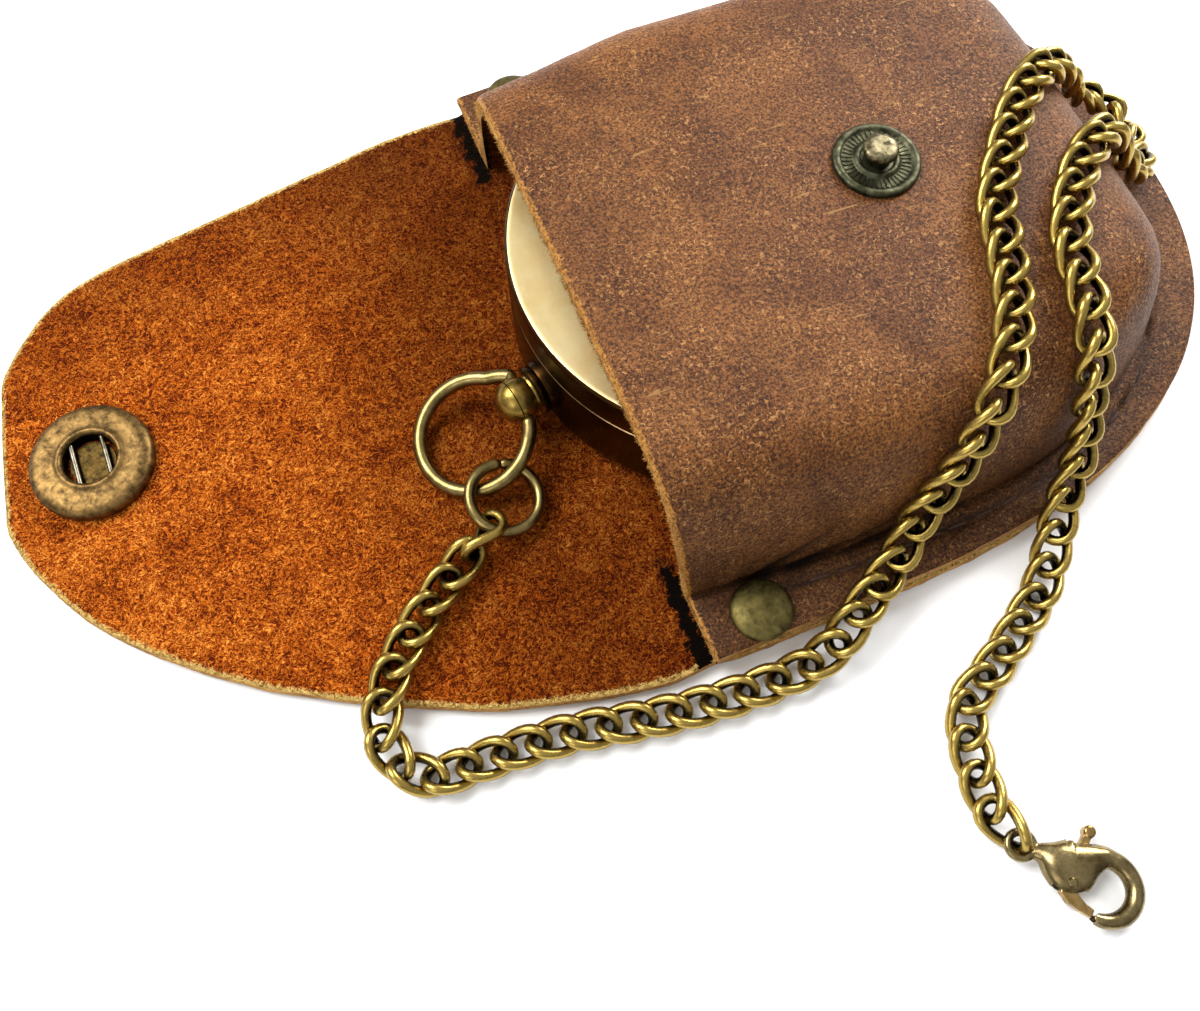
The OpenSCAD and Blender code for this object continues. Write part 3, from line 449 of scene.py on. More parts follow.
# The moulded front panel, one piece of thick hide: margin, steep wall and crowned top, open at the mouth
crossShares = [(1, 0), (.985, .16), (.965, .33), (.93, .54), (.885, .73), (.83, .86), (.76, .94), (.66, .985),
               (.5, 1), (.25, 1.005), (0, 1.008)]
endShares = [(0, 1), (.3, 1), (.47, .99), (.57, .95), (.65, .87), (.73, .74), (.8, .59), (.87, .43), (.93, .25),
             (.97, .12), (1, 0)]
crossCurve, endCurve = smoothLine(crossShares, 6), smoothLine(endShares, 6)
moulding = {"rows": 150, "marginColumns": 9, "grooveAt": 1.9, "grooveWide": 0.5, "grooveDeep": 0.42, "footWide": 0.5,
            "footDeep": 0.3, "ripple": 0.16, "pores": 0.05, "edgeInset": 0.25, "edgeWander": 0.35,
            "mouthSteps": (0, 0.12, 0.25, 0.4, 0.6, 0.85, 1.2, 1.7, 2.3), "bodyFrom": 3, "bodyTo": -0.7,
            "bodyRows": 22, "rimRun": 0.55, "mouthDrop": 0.5, "mouthRun": 0.3, "lidRoom": 0.15, "lift": 0.02,
            "edgeSink": 0.12, "calmRun": 3, "foldWide": 0.7, "foldEnds": (0.15, 0.7), "planPower": 2.5,
            "seamPower": 2.4, "seamLeast": 0.55, "edgeLeast": 0.6, "innerLeast": 0.3, "crown": 0.16, "rag": 0.09,
            "wanderScale": 0.16, "rippleScale": 0.11, "poreScale": 0.45, "ragScale": 2.2, "grooveTo": 50,
            "grooveHigh": 0.4, "wallHigh": 2, "lowDrop": 0.3, "creaseFrom": 0.1, "creaseShare": 2.2, "tip": 0.9995}


def panelWidth(x):
    power = moulding["planPower"]
    return pouch["backY"] if x < 0 else pouch["backY"] * max(1 - (x / pouch["backX"]) ** power, 0) ** (1 / power)


def seamWidth(x, side):
    wide, power = pouch["seamY"], moulding["seamPower"]
    if x < 0:
        mouth = pouch["mouthNear"] if side < 0 else pouch["mouthFar"]
        return wide + (mouth - wide) * x / pouch["mouthX"]
    if x < pouch["narrowX"]:
        return wide
    narrowed = wide * max(1 - ((x - pouch["narrowX"]) / pouch["narrowRun"]) ** power, 0) ** (1 / power)
    plan = panelWidth(x)
    return max(min(plan - pouch["tipMargin"], max(pouch["tipWidth"], narrowed)), moulding["seamLeast"] * plan)


def crestHeight(x, run):
    high = pouch["domeHigh"] + pouch["mouthRise"] * max(pouch["domeX"] - x, 0) / (pouch["domeX"] - pouch["mouthX"])
    return high * float(np.interp((x - pouch["domeX"]) / run, endCurve[:, 0], endCurve[:, 1]))


def lean(x, z):
    share = min(max((pouch["leanFrom"] - x) / pouch["leanRun"], 0), 1)
    return x - pouch["lean"] * share * (z - pouch["board"])


# folds pulled from the near rivet and the far corner into the wall: each has two ends and a depth
folds = [((-13, -33.5, 4.5), (-8, -31.0, 12), 0.45), ((-10, -34, 4.2), (-1, -33, 10), 0.5),
         ((-7, -34.6, 4), (8, -34, 7), 0.5), ((-16, -33, 5), (-15, -30.5, 13), 0.4),
         ((0, -35, 4.2), (16, -33.5, 6), 0.35), ((-11.5, -33.6, 4.2), (-5, -32.4, 7), 0.45),
         ((8, -34.8, 4.2), (20, -32.6, 6.5), 0.3), ((26, -31, 4.2), (36, -25.5, 8), 0.35),
         ((-14, 31.5, 5), (-9, 29.5, 13), 0.3), ((-8, 33, 4.5), (3, 31.5, 11), 0.3),
         ((44, -17, 5), (49, -7, 9), 0.35), ((45, 16, 5), (50, 7, 9), 0.3)]


def foldDepth(p):
    depth = 0.0
    for a, b, deep in folds:
        a, b = np.array(a, float), np.array(b, float)
        along = b - a
        t = min(max(float((p - a) @ along / (along @ along)), 0), 1)
        gone = np.linalg.norm(p - a - t * along) / moulding["foldWide"]
        start, run = moulding["foldEnds"]
        depth += deep * math.exp(-gone ** 2) * math.sin(math.pi * (start + run * t))
    return depth


def frontRow(x):
    # one row of points across the panel, outside and inside
    m, front = moulding["marginColumns"], pouch["front"]
    wide, floor = panelWidth(x), pouch["board"] + moulding["lift"]
    top, low = crestHeight(x, pouch["domeRun"]), crestHeight(x, pouch["domeRun"] - front)
    rowOut, rowIn = [], []
    for side in (-1, 1):
        seam = seamWidth(x, side)
        wander = 0.5 + 0.5 * noise.noise((x * moulding["wanderScale"], side * 3.0, 1.7))
        edge = max(wide - moulding["edgeInset"] - moulding["edgeWander"] * wander, moulding["edgeLeast"] * wide)
        out = [(side * (edge + (seam - edge) * k / m), marginZ) for k in range(m)]
        thin = [(side * (edge + (seam - front - edge) * k / m), floor) for k in range(m)]
        out += [(side * seam * c, marginZ + top * h) for c, h in crossCurve]
        inside = max(seam - front, moulding["innerLeast"] * seam)
        thin += [(side * inside * c, floor + (low + moulding["lidRoom"]) * h) for c, h in crossCurve]
        for row, line in ((rowOut, out), (rowIn, thin)):
            row += [(lean(x, z), y, z) for y, z in (line[::-1][1:] if side > 0 else line)]
    return rowOut, rowIn


def buildFront():
    mouth = pouch["mouthX"]
    body = [mouth + d for d in moulding["mouthSteps"]]
    body += list(np.linspace(mouth + moulding["bodyFrom"], moulding["bodyTo"], moulding["bodyRows"]))
    stations = body + [pouch["backX"] * math.sin(0.5 * math.pi * u * moulding["tip"])
                       for u in np.linspace(0, 1, moulding["rows"] - len(body))]
    outer, inner = (np.array(skin) for skin in zip(*map(frontRow, stations)))
    rows, columns = outer.shape[:2]
    normal = np.cross(np.gradient(outer, axis=0), np.gradient(outer, axis=1))
    normal /= np.maximum(np.linalg.norm(normal, axis=2), 1e-9)[:, :, None]
    creaseShade, rim = np.zeros((rows, columns)), np.zeros((rows, columns))
    # surface work on the outside: foot crease, stitch groove, folds and a slow ripple
    for i, x in enumerate(stations):
        calm = min(1.0, (pouch["backX"] - x) / moulding["calmRun"])
        rim[i] = math.exp(-(x - mouth) / moulding["rimRun"])
        drop = moulding["mouthDrop"] * math.exp(-(x - mouth) / moulding["mouthRun"])
        for j in range(columns):
            p = outer[i, j]
            gone = abs(p[1]) - seamWidth(x, -1 if p[1] < 0 else 1)
            shift = moulding["ripple"] * noise.noise(Vector(p) * moulding["rippleScale"])
            shift += moulding["pores"] * noise.noise(Vector(p) * moulding["poreScale"]) - foldDepth(p)
            if p[2] < marginZ + moulding["grooveHigh"] and x < moulding["grooveTo"]:
                groove = (gone - moulding["grooveAt"]) / moulding["grooveWide"]
                shift -= moulding["grooveDeep"] * math.exp(-groove ** 2)
                shift -= moulding["footDeep"] * math.exp(-(gone / moulding["footWide"]) ** 2)
            if j in (0, columns - 1):
                shift = -moulding["edgeSink"]
            shift -= drop * (1 if p[2] > marginZ + moulding["wallHigh"] else moulding["lowDrop"])
            # painted shade mask: the deeper the outer skin is pressed in, the more painted shade it gets, except at the
            # mouth's rim
            deep = max(-shift - moulding["creaseFrom"], 0) * moulding["creaseShare"]
            creaseShade[i, j] = min(deep, 1) * (1 - rim[i, j])
            outer[i, j] = p + normal[i, j] * shift * calm
    panel = points, faces, kinds = skins(outer, inner)
    half, last = rows * columns, (rows - 1) * columns

    def crown(out, k, p, t):
        p = p + out * math.sin(math.pi * t) * moulding["crown"]
        return p + out * moulding["rag"] * noise.noise(Vector(p) * moulding["ragScale"])

    for top, steps, out, flip in ((range(columns), 4, (-1, 0, 0), False), (range(last, half), 2, (1, 0, 0), True),
                                  (range(0, half, columns), 3, (0, -1, 0), True),
                                  (range(columns - 1, half, columns), 3, (0, 1, 0), False)):
        cutEdge(panel, half, top, [s / steps for s in range(1, steps)], partial(crown, np.array(out)), flip)
    piece = addMesh("frontPanel", points, faces, [grain, suede, rawEdge], kinds, 60)
    addShade(piece, "creaseShade", creaseShade.ravel())
    addShade(piece, "rim", rim.ravel())
    finish(piece, "pouch", "hide", "front_panel")
    return outer


frontSkin = buildFront()
print("front panel made")


# The back of the pouch and its flap, one long board of hide with the suede side up
flapShares = [(.0, -1.0), (.10, -1.0), (.316, -.914), (.49, -.788), (.70, -.585), (.872, -.333), (.958, -.123),
              (1.0, .06), (.995, .188), (.966, .472), (.942, .598), (.85, .756), (.758, .825), (.66, .854),
              (.46, .9), (.275, .946), (.128, .975), (0, .975)]
board = {"rows": 250, "columns": 84, "wander": 0.3, "ripple": 0.1, "pores": 0.07, "sag": 0.04, "edgeDrop": 0.3,
         "dropRun": 0.45, "underZ": 0.03, "underRise": 0.25, "underRun": 0.4, "rim": 0.9, "endGap": 0.03,
         "joinRun": 5, "crown": 0.14, "rag": 0.08, "levels": (0.3, 0.65), "tipGap": 0.02, "wanderScale": 0.2,
         "wanderMost": 0.1, "seeds": ((5.0, 0.3), (9.0, 0.8)), "ends": (0.004, 0.996), "rippleScale": 0.09,
         "poreScale": 0.7, "ragScale": 1.9}


def buildBoard():
    line = smoothLine([(pouch["mouthX"] - s * pouch["flapLong"], y * pouch["flapWide"]) for s, y in flapShares], 8)
    tip = int(np.argmin(line[:, 0]))
    sides = {-1: line[:tip + 1][::-1], 1: line[tip:]}

    def reach(x, side):
        flapY = float(np.interp(x, sides[side][:, 0], sides[side][:, 1]))
        t = min(max((x - pouch["mouthX"] + 1) / board["joinRun"], 0), 1)
        return flapY + (side * panelWidth(x) - flapY) * t * t * (3 - 2 * t)

    left, right = line[tip, 0] + board["tipGap"], pouch["backX"] - board["endGap"]
    top = []
    for u in np.linspace(*board["ends"], board["rows"]):
        x = (right + left) / 2 - (right - left) / 2 * math.cos(math.pi * u)
        low, high = reach(x, -1), reach(x, 1)
        inset = [min(board["wander"] * (0.5 + 0.5 * noise.noise((x * board["wanderScale"], *seed))),
                     board["wanderMost"] * (high - low)) for seed in board["seeds"]]
        low, high = low + inset[0], high - inset[1]
        top.append([(x, low + (high - low) * (1 - math.cos(math.pi * v)) / 2, pouch["board"])
                    for v in np.linspace(0, 1, board["columns"])])
    top = np.array(top)
    bottom = top.copy()
    bottom[:, :, 2] = board["underZ"]
    rim = np.concatenate([top[:, 0, :2], top[:, -1, :2], top[0, :, :2], top[-1, :, :2]])
    flat = top.reshape(-1, 3)[:, :2]
    away = np.array([np.sqrt(((rim - p) ** 2).sum(1).min()) for p in flat]).reshape(top.shape[:2])
    for i, j in np.ndindex(top.shape[:2]):
        x, y, z = top[i, j]
        if x < pouch["mouthX"]:
            slow, fine = board["rippleScale"], board["poreScale"]
            z += board["ripple"] * noise.noise((x * slow, y * slow, 2.0)) - board["sag"]
            z += board["pores"] * noise.noise((x * fine, y * fine, 0))
        top[i, j, 2] = z - board["edgeDrop"] * math.exp(-away[i, j] / board["dropRun"])
        bottom[i, j, 2] += board["underRise"] * math.exp(-away[i, j] / board["underRun"])
    columns = top.shape[1]
    half = top.shape[0] * columns
    panel = points, faces, kinds = skins(top, bottom)
    loop = [*range(columns), *range(2 * columns - 1, half, columns), *range(half - 2, half - columns - 1, -1),
            *range(half - 2 * columns, 0, -columns)]
    centre = top.reshape(-1, 3).mean(0)
    outwards = []
    for k, a in enumerate(loop):
        ahead = points[loop[(k + 1) % len(loop)]] - points[loop[k - 1]]
        out = np.array((ahead[1], -ahead[0], 0.0))
        out /= max(np.linalg.norm(out), 1e-9)
        outwards.append(-out if out @ (points[a] - centre) < 0 else out)

    def crown(k, p, t):
        rag = board["rag"] * noise.noise(Vector(p) * board["ragScale"])
        return p + outwards[k] * (board["crown"] * math.sin(math.pi * t) + rag)

    cutEdge(panel, half, loop, board["levels"], crown, closed=True)
    piece = addMesh("backAndFlap", points, faces, [suede, grain, rawEdge], kinds, 60)
    addShade(piece, "rim", np.exp(-away.ravel() / board["rim"]))
    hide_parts("back_panel", "flap_bend", "flap")
    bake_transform(piece)


buildBoard()
print("back and flap made")


# The compass case and its lid, spun from sheet brass; the case is lacquered dark, the lid's face is satin
caseShape = [(0, 2.02), (22.6, 2.02), (23.6, 2.05), (24.3, 2.25), (24.75, 2.7), (24.95, 3.3), (25, 4), (25, 6.5),
             (25, 9.5), (25, 12.0), (24.96, 12.3), (24.85, 12.4), (24.1, 12.4), (24.0, 12.3), (24.0, 8), (24, 3.3),
             (23.9, 3.2), (0, 3.2)]
lidShape = [(0, 16.2), (23.9, 16.2), (24.1, 16.0), (24.1, 12.65), (24.2, 12.52), (24.85, 12.52), (24.97, 12.6),
            (25, 12.75), (25, 14.5), (25, 16.3), (24.97, 16.7), (24.9, 16.92), (24.79, 17.06), (24.66, 17.13),
            (24.5, 17.16), (24.2, 17.16), (23.4, 17.13), (22.5, 17.11), (20, 17.08), (12, 17.06), (0, 17.05)]
spun = {"sides": 192, "seamRho": 24.6, "caseSeamZ": 12.25, "lidSeamZ": 12.7, "faceRho": 24.7, "faceZ": 17.0}
knuckle = {"radius": 1.25, "edge": 0.12, "sides": 40, "case": [(2.0, 4.2), (-4.2, -2.0)], "lid": [(-1.8, 1.8)]}


def axisMatrix(direction, point):
    # lays the lathe's height along a direction
    return Matrix.Translation(point) @ Vector(direction).to_track_quat("Z", "Y").to_matrix().to_4x4()


def knuckles(heights):
    # hinge barrels beside the knob, on the pin's line
    a = math.radians(compass["knobTurn"] - 180)
    centre = (math.cos(a) * compass["hingeRho"], math.sin(a) * compass["hingeRho"], compass["hingeZ"])
    r, edge = knuckle["radius"], knuckle["edge"]
    for low, high in heights:
        shape = [(0, low), (r - edge, low), (r, low + edge), (r, high - edge), (r - edge, high), (0, high)]
        yield placed(lathe(shape, knuckle["sides"]), axisMatrix((-math.sin(a), math.cos(a), 0), centre))


def buildCase():
    def caseRule(x, y, z):
        return z > spun["caseSeamZ"] and math.hypot(x, y) > spun["seamRho"]

    def lidRule(x, y, z):
        if z > spun["faceZ"] and math.hypot(x, y) < spun["faceRho"]:
            return 1
        return 2 if z < spun["lidSeamZ"] and math.hypot(x, y) > spun["seamRho"] else 0

    addPiece("compassCase", joined(lathe(caseShape, spun["sides"]), *knuckles(knuckle["case"])),
             [caseBronze, seamBright], "pouch", "antique_brass", "compass_case", 30, caseRule)
    addPiece("compassLid", joined(lathe(lidShape, spun["sides"]), *knuckles(knuckle["lid"])),
             [caseBronze, lidSatin, seamBright], "lid", "pale_brass", "lid", 30, lidRule)


buildCase()


# Knob: a ribbed collar on the case wall, then a hollow ball whose outer cap is the push button
knob = {"collar": [(0, 24.6), (3.05, 24.6), (3.1, 25.3), (3.0, 25.6), (2.7, 25.7), (2.62, 25.78), (2.7, 25.88),
                   (2.95, 26.0), (3.0, 26.2), (2.95, 26.42), (2.7, 26.5), (2.1, 26.56)],
        "stem": [(0, 23.2), (1.2, 23.2), (1.2, 23.4), (0.8, 23.45), (0.8, 28.0)],
        "ballFrom": -1.62, "gap": 0.06, "wall": 0.08, "hole": 1.0, "darkTo": 26.6, "stemR": 0.8, "faces": (0.01, 0.04),
        "capFrom": 0.08, "capSteps": 24, "sides": 72}


def ballArc(low, high, steps=20):
    # heights along the knob's axis, from the ball's middle
    r = compass["ballR"]
    start, end = math.asin(low / r), math.asin(high / r)
    heights = (r * math.sin(start + (end - start) * k / steps) for k in range(steps + 1))
    return [(math.sqrt(max(r * r - h * h, 0)), compass["ballRho"] + h) for h in heights]


def buildKnob():
    a = math.radians(compass["knobTurn"])
    axis = axisMatrix((math.cos(a), math.sin(a), 0), (0, 0, compass["knobZ"]))
    rho, gap, (under, over) = compass["splitRho"], knob["gap"], knob["faces"]
    split = rho - compass["ballRho"]
    ball = ballArc(knob["ballFrom"], split - gap)
    shape = knob["collar"] + ball + [(r, rho - under) for r in (ball[-1][0] - knob["wall"], knob["hole"], 0)]
    addPiece("knobCollar", placed(lathe(shape, knob["sides"]), axis), [knobBrass, caseBronze], "pouch", "antique_brass",
             "knob_collar", 35, lambda x, y, z: math.hypot(x, y) < knob["darkTo"])
    rim = ballArc(split + gap, compass["ballR"])[0][0] - knob["wall"]
    cap = knob["stem"] + [(knob["stemR"], rho + over), (rim, rho + over)]
    cap += ballArc(split + knob["capFrom"], compass["ballR"], knob["capSteps"])[:-1]
    cap = lathe(cap + [(0, compass["ballRho"] + compass["ballR"])], knob["sides"])
    addPiece("pushButton", cap, [knobBrass], "button", "pale_brass", "push_button", 35, place=axis)


buildKnob()
print("case, lid and knob made")


# The bow, its two pins in the ball, and the split jump ring
bow = {"radius": 6.65, "wire": 1.62, "gap": 43.0, "tilt": 19.09, "pivotRho": 28.1, "corner": 0.48, "pinFrom": 3.2,
       "pinTo": 2.1, "pinReach": [2.4, 2.75, 3.1], "pinRadii": [0.48, 0.62, 0.81], "pinNear": 4.4}
jump = {"radius": 4.0, "wire": 1.3, "centre": (-33.2, -14.8, 4.39), "tilt": (8, 12, 0), "splitAt": 78.0,
        "split": 1.8, "nipped": [0.72, 0.93]}


def buildBow():
    a, tilt = math.radians(compass["knobTurn"]), math.radians(bow["tilt"])
    out = np.array((math.cos(a), math.sin(a), 0))
    pivot = bow["pivotRho"] * out + (0, 0, compass["knobZ"])
    down = math.cos(tilt) * out - math.sin(tilt) * np.array((0, 0, 1))
    side = np.array((math.sin(a), -math.cos(a), 0))
    turns = (math.radians(bow["gap"] + (360 - 2 * bow["gap"]) * k / 120) for k in range(121))
    arc = [pivot + bow["radius"] * (down - math.cos(t) * down + math.sin(t) * side) for t in turns]
    way = 1 if arc[0][1] > arc[-1][1] else -1

    def shoulder(before, end, way):
        # from the ring's end to the pin, cutting the corner beside the ball
        pin = np.array((0, way, 0))
        corner = end * (1 - bow["corner"]) + (pivot + pin * bow["pinFrom"]) * bow["corner"] + pin * 0.1
        line = [before, end, corner, pivot + pin * 3.15 + down * 0.12, pivot + pin * 2.7, pivot + pin * bow["pinTo"]]
        return smoothLine(line, 8)[8:]

    path = np.concatenate([shoulder(arc[2], arc[0], way)[::-1], arc[1:-1], shoulder(arc[-3], arc[-1], -way)])
    path = path[[0] + [i for i in range(1, len(path)) if np.linalg.norm(path[i] - path[i - 1]) > 0.02]]
    near = np.linalg.norm(path - pivot, axis=1) < bow["pinNear"]
    thinned = np.interp(np.abs(path[:, 1] - pivot[1]), bow["pinReach"], bow["pinRadii"])
    radii = list(np.where(near, thinned, bow["wire"] / 2))
    addPiece("bow", sweep(path, radii, 28, start=(0.3, 0.1, 1)), [bowBrass], "bow", "pale_brass", "bow", 50)
    turns = [math.radians(jump["splitAt"] + jump["split"] / 2 + (360 - jump["split"]) * k / 110) for k in range(111)]
    ring = [(jump["radius"] * math.cos(t), jump["radius"] * math.sin(t), 0) for t in turns]
    ends = jump["nipped"]  # nipped ends leave a small notch
    wire = [share * jump["wire"] / 2 for share in ends + [1] * (len(ring) - 4) + ends[::-1]]
    turn = Euler([math.radians(t) for t in jump["tilt"]], "XYZ").to_matrix().to_4x4()
    addPiece("jumpRing", sweep(ring, wire, 24), [bowBrass], "bow", "antique_brass", "jump_ring", 50,
             place=Matrix.Translation(jump["centre"]) @ turn)


buildBow()


# Rivets, snap stud and snap socket; heights in the tables are from the leather under each piece
rivet = {"place": (-12.2, 37.5), "radius": 3.5, "dome": 1.3, "rise": 0.28, "steps": 14,
         "post": [(0, -3.3), (1.15, -3.3), (1.2, -1.7), (1.2, -0.05), (3.25, -0.1), (3.46, 0.05), (3.5, 0.22)]}
stud = {"x": 17.0, "ribs": 40, "ribRho": 3.283, "ribZ": 0.34, "ribSize": (1.05, 1.6, 1.3), "wornFrom": 1.3,
        "shape": [(0, -2.2), (1.1, -2.2), (1.15, -0.3), (4.75, -0.22), (4.9, -0.1), (4.9, 0.3), (4.82, 0.48),
                  (4.6, 0.6), (4.214, 0.6), (4.018, 0.5), (3.92, 0.4), (3.822, 0.36), (2.744, 0.36), (2.597, 0.46),
                  (2.45, 0.66), (2.303, 0.74), (2.058, 0.74), (1.911, 0.62), (1.813, 0.5), (1.5, 0.5), (1.44, 0.7),
                  (1.42, 1.2), (1.5, 1.5), (1.75, 1.68), (1.92, 1.85), (1.98, 2.05), (1.93, 2.28), (1.75, 2.46),
                  (1.45, 2.56), (1.1, 2.6), (0.7, 2.58), (0, 2.56)]}
socket = {"place": (-75.2, 8.1), "darkTo": 3.06, "springX": 1.8, "springY": 3.4, "springZ": 1.02, "springWire": 0.3,
          "ring": [(2.95, 0.1), (6.7, -0.15), (7.05, 0.05), (7.1, 0.4), (7.1, 0.8), (6.98, 1.15), (6.7, 1.42),
                   (6.3, 1.58), (5.893, 1.66), (5.325, 1.68), (4.686, 1.68), (4.189, 1.7), (3.905, 1.78),
                   (3.7275, 1.88), (3.55, 1.92), (3.3725, 1.88), (3.2305, 1.74), (3.0885, 1.5), (3.0175, 1.2),
                   (3.0175, 0.5)],
          "floor": [(0, 0.42), (1.2, 0.46), (2.6, 0.42), (2.6, 0.02), (0, 0.02)],
          "cap": [(0, -1.96), (5.2, -1.96), (5.8, -1.9), (6.0, -1.7), (6.0, -1.4), (1.4, -1.4), (1.35, 0), (0, 0)]}


def buildRivets():
    steps, rise = rivet["steps"], rivet["rise"]
    quarter = (0.5 * math.pi * k / steps for k in range(1, steps))
    dome = [(rivet["radius"] * math.cos(t), rise + (rivet["dome"] - rise) * math.sin(t)) for t in quarter]
    cap = lathe(rivet["post"] + dome + [(0, rivet["dome"])], 72)
    x, y = rivet["place"]
    addPiece("rivetCaps", joined(*(placed(cap, Matrix.Translation((x, s * y, marginZ))) for s in (-1, 1))),
             [rivetBrass], "pouch", "antique_brass", "rivet_caps", 50)


def studMatrix():
    run, rise = pouch["domeX"] - pouch["mouthX"], pouch["mouthRise"]
    z = marginZ + pouch["domeHigh"] * crossShares[-1][1] + rise * (pouch["domeX"] - stud["x"]) / run + 0.02
    return Matrix.Translation((stud["x"], 0, z)) @ Matrix.Rotation(math.atan(rise / run), 4, "Y")


def buildSnap():
    addPiece("snapStud", lathe(stud["shape"]), [studBronze, studTop], "pouch", "antique_brass", "snap_stud",
             rule=lambda x, y, z: z > stud["wornFrom"], place=studMatrix())
    place = Matrix.Translation((*socket["place"], pouch["board"]))
    addPiece("snapSocket", lathe(socket["ring"], 112, closed=True), [socketBronze, darkHole], "flap", "antique_brass",
             "snap_socket", rule=lambda x, y, z: math.hypot(x, y) < socket["darkTo"], place=place)
    addPiece("snapCap", joined(lathe(socket["floor"], 48), lathe(socket["cap"], 72)), [darkHole, rivetBrass], "flap",
             "antique_brass", "snap_cap", rule=lambda x, y, z: z < -1, place=place)
    reach = np.linspace(-socket["springY"], socket["springY"], 12)
    wires = (sweep([(s * socket["springX"], y, socket["springZ"]) for y in reach], socket["springWire"], 12)
             for s in (-1, 1))
    addPiece("snapSpring", joined(*wires), [springSteel], "flap", "pale_brass", "snap_spring", place=place)


buildRivets()
buildSnap()
print("bow, rings, rivets and snap made")


# Geometry Nodes: a tree sets a shape on points that carry their own turn and size, and gives it its material
def newTree(name, inputs):
    tree = bpy.data.node_groups.new(name, "GeometryNodeTree")
    tree.interface.new_socket("Result", in_out="OUTPUT", socket_type="NodeSocketGeometry")
    for label, kind in (("Places", "Geometry"), *inputs, ("Finish", "Material")):
        tree.interface.new_socket(label, in_out="INPUT", socket_type="NodeSocket" + kind)
    add = partial(addNode, tree)
    return tree, add, add("NodeGroupInput").outputs


def endTree(add, given, shape):
    turn, size = (add("GeometryNodeInputNamedAttribute", {"Name": name}, data_type="FLOAT_VECTOR")
                  for name in ("turn", "size"))
    stand = add("GeometryNodeInstanceOnPoints", {"Points": given["Places"], "Instance": shape, "Rotation": turn,
                                                 "Scale": size})
    real = add("GeometryNodeRealizeInstances", [stand])
    add("NodeGroupOutput", [add("GeometryNodeSetMaterial", {"Geometry": real, "Material": given["Finish"]})])


def grow(name, tree, values, places, turns, sizes=None):
    # runs a tree on a cloud of points and keeps the result as a plain mesh
    cloud = bpy.data.meshes.new(name)
    cloud.from_pydata([tuple(float(c) * mm for c in p) for p in places], [], [])
    for label, table in (("turn", turns), ("size", np.ones((len(places), 3)) if sizes is None else sizes)):
        vectors = cloud.attributes.new(label, "FLOAT_VECTOR", "POINT")
        vectors.data.foreach_set("vector", np.array(table, np.float32).ravel())
    cloud = addObject(name, cloud)
    modifier = cloud.modifiers.new("repeat", "NODES")
    modifier.node_group = tree
    for item in tree.interface.items_tree:
        if item.in_out == "INPUT" and item.name in values:
            modifier[item.identifier] = values[item.name]
    mesh = bpy.data.meshes.new_from_object(cloud.evaluated_get(bpy.context.evaluated_depsgraph_get()))
    mesh.name = name
    bpy.data.objects.remove(cloud)
    return addObject(name, mesh)


# One twisted curb link: an oval wire whose two long sides rise and fall
link = {"Long": 2.9 * mm, "Wide": 1.7 * mm, "Twist": 0.8 * mm, "Wire": 0.59 * mm, "Around": 26, "Sides": 9}


def linkTree():
    inputs = [(name, "Int" if isinstance(value, int) else "Float") for name, value in link.items()]
    tree, add, given = newTree("curbLink", inputs)
    ring = add("GeometryNodeMeshCircle", {"Vertices": given["Around"], "Radius": 1.0})
    spot = add("SeparateXYZ", [add("GeometryNodeInputPosition")]).outputs
    slope, twice, long, wide = (
        add("Math", pair, operation="MULTIPLY") for pair in
        ((spot["X"], spot["Y"]), (given["Twist"], 2.0), (spot["X"], given["Long"]), (spot["Y"], given["Wide"])))
    rise = add("Math", [slope, twice], operation="MULTIPLY")
    oval = add("CombineXYZ", [long, wide, rise])
    bent = add("GeometryNodeSetPosition", {"Geometry": ring, "Position": oval})
    curve = add("GeometryNodeMeshToCurve", {"Mesh": bent})
    section = add("GeometryNodeCurvePrimitiveCircle", {"Resolution": given["Sides"], "Radius": given["Wire"]})
    wire = add("GeometryNodeCurveToMesh", {"Curve": curve, "Profile Curve": section})
    # the outside of each link is rubbed bright; the inside keeps its dark plating and is also painted darker, as
    # painted shade where the links crowd each other
    outward = add("VectorMath", [add("GeometryNodeInputPosition")], operation="NORMALIZE").outputs["Vector"]
    facing = add("VectorMath", [add("GeometryNodeInputNormal"), outward], operation="DOT_PRODUCT").outputs["Value"]
    rub = add("Math", [facing, 0.6, 0.5], operation="MULTIPLY_ADD", use_clamp=True)
    kept = add("GeometryNodeStoreNamedAttribute", {"Geometry": wire, "Name": "wear", "Value": rub},
               data_type="FLOAT", domain="POINT")
    endTree(add, given, add("GeometryNodeSetShadeSmooth", {"Geometry": kept}))
    return tree


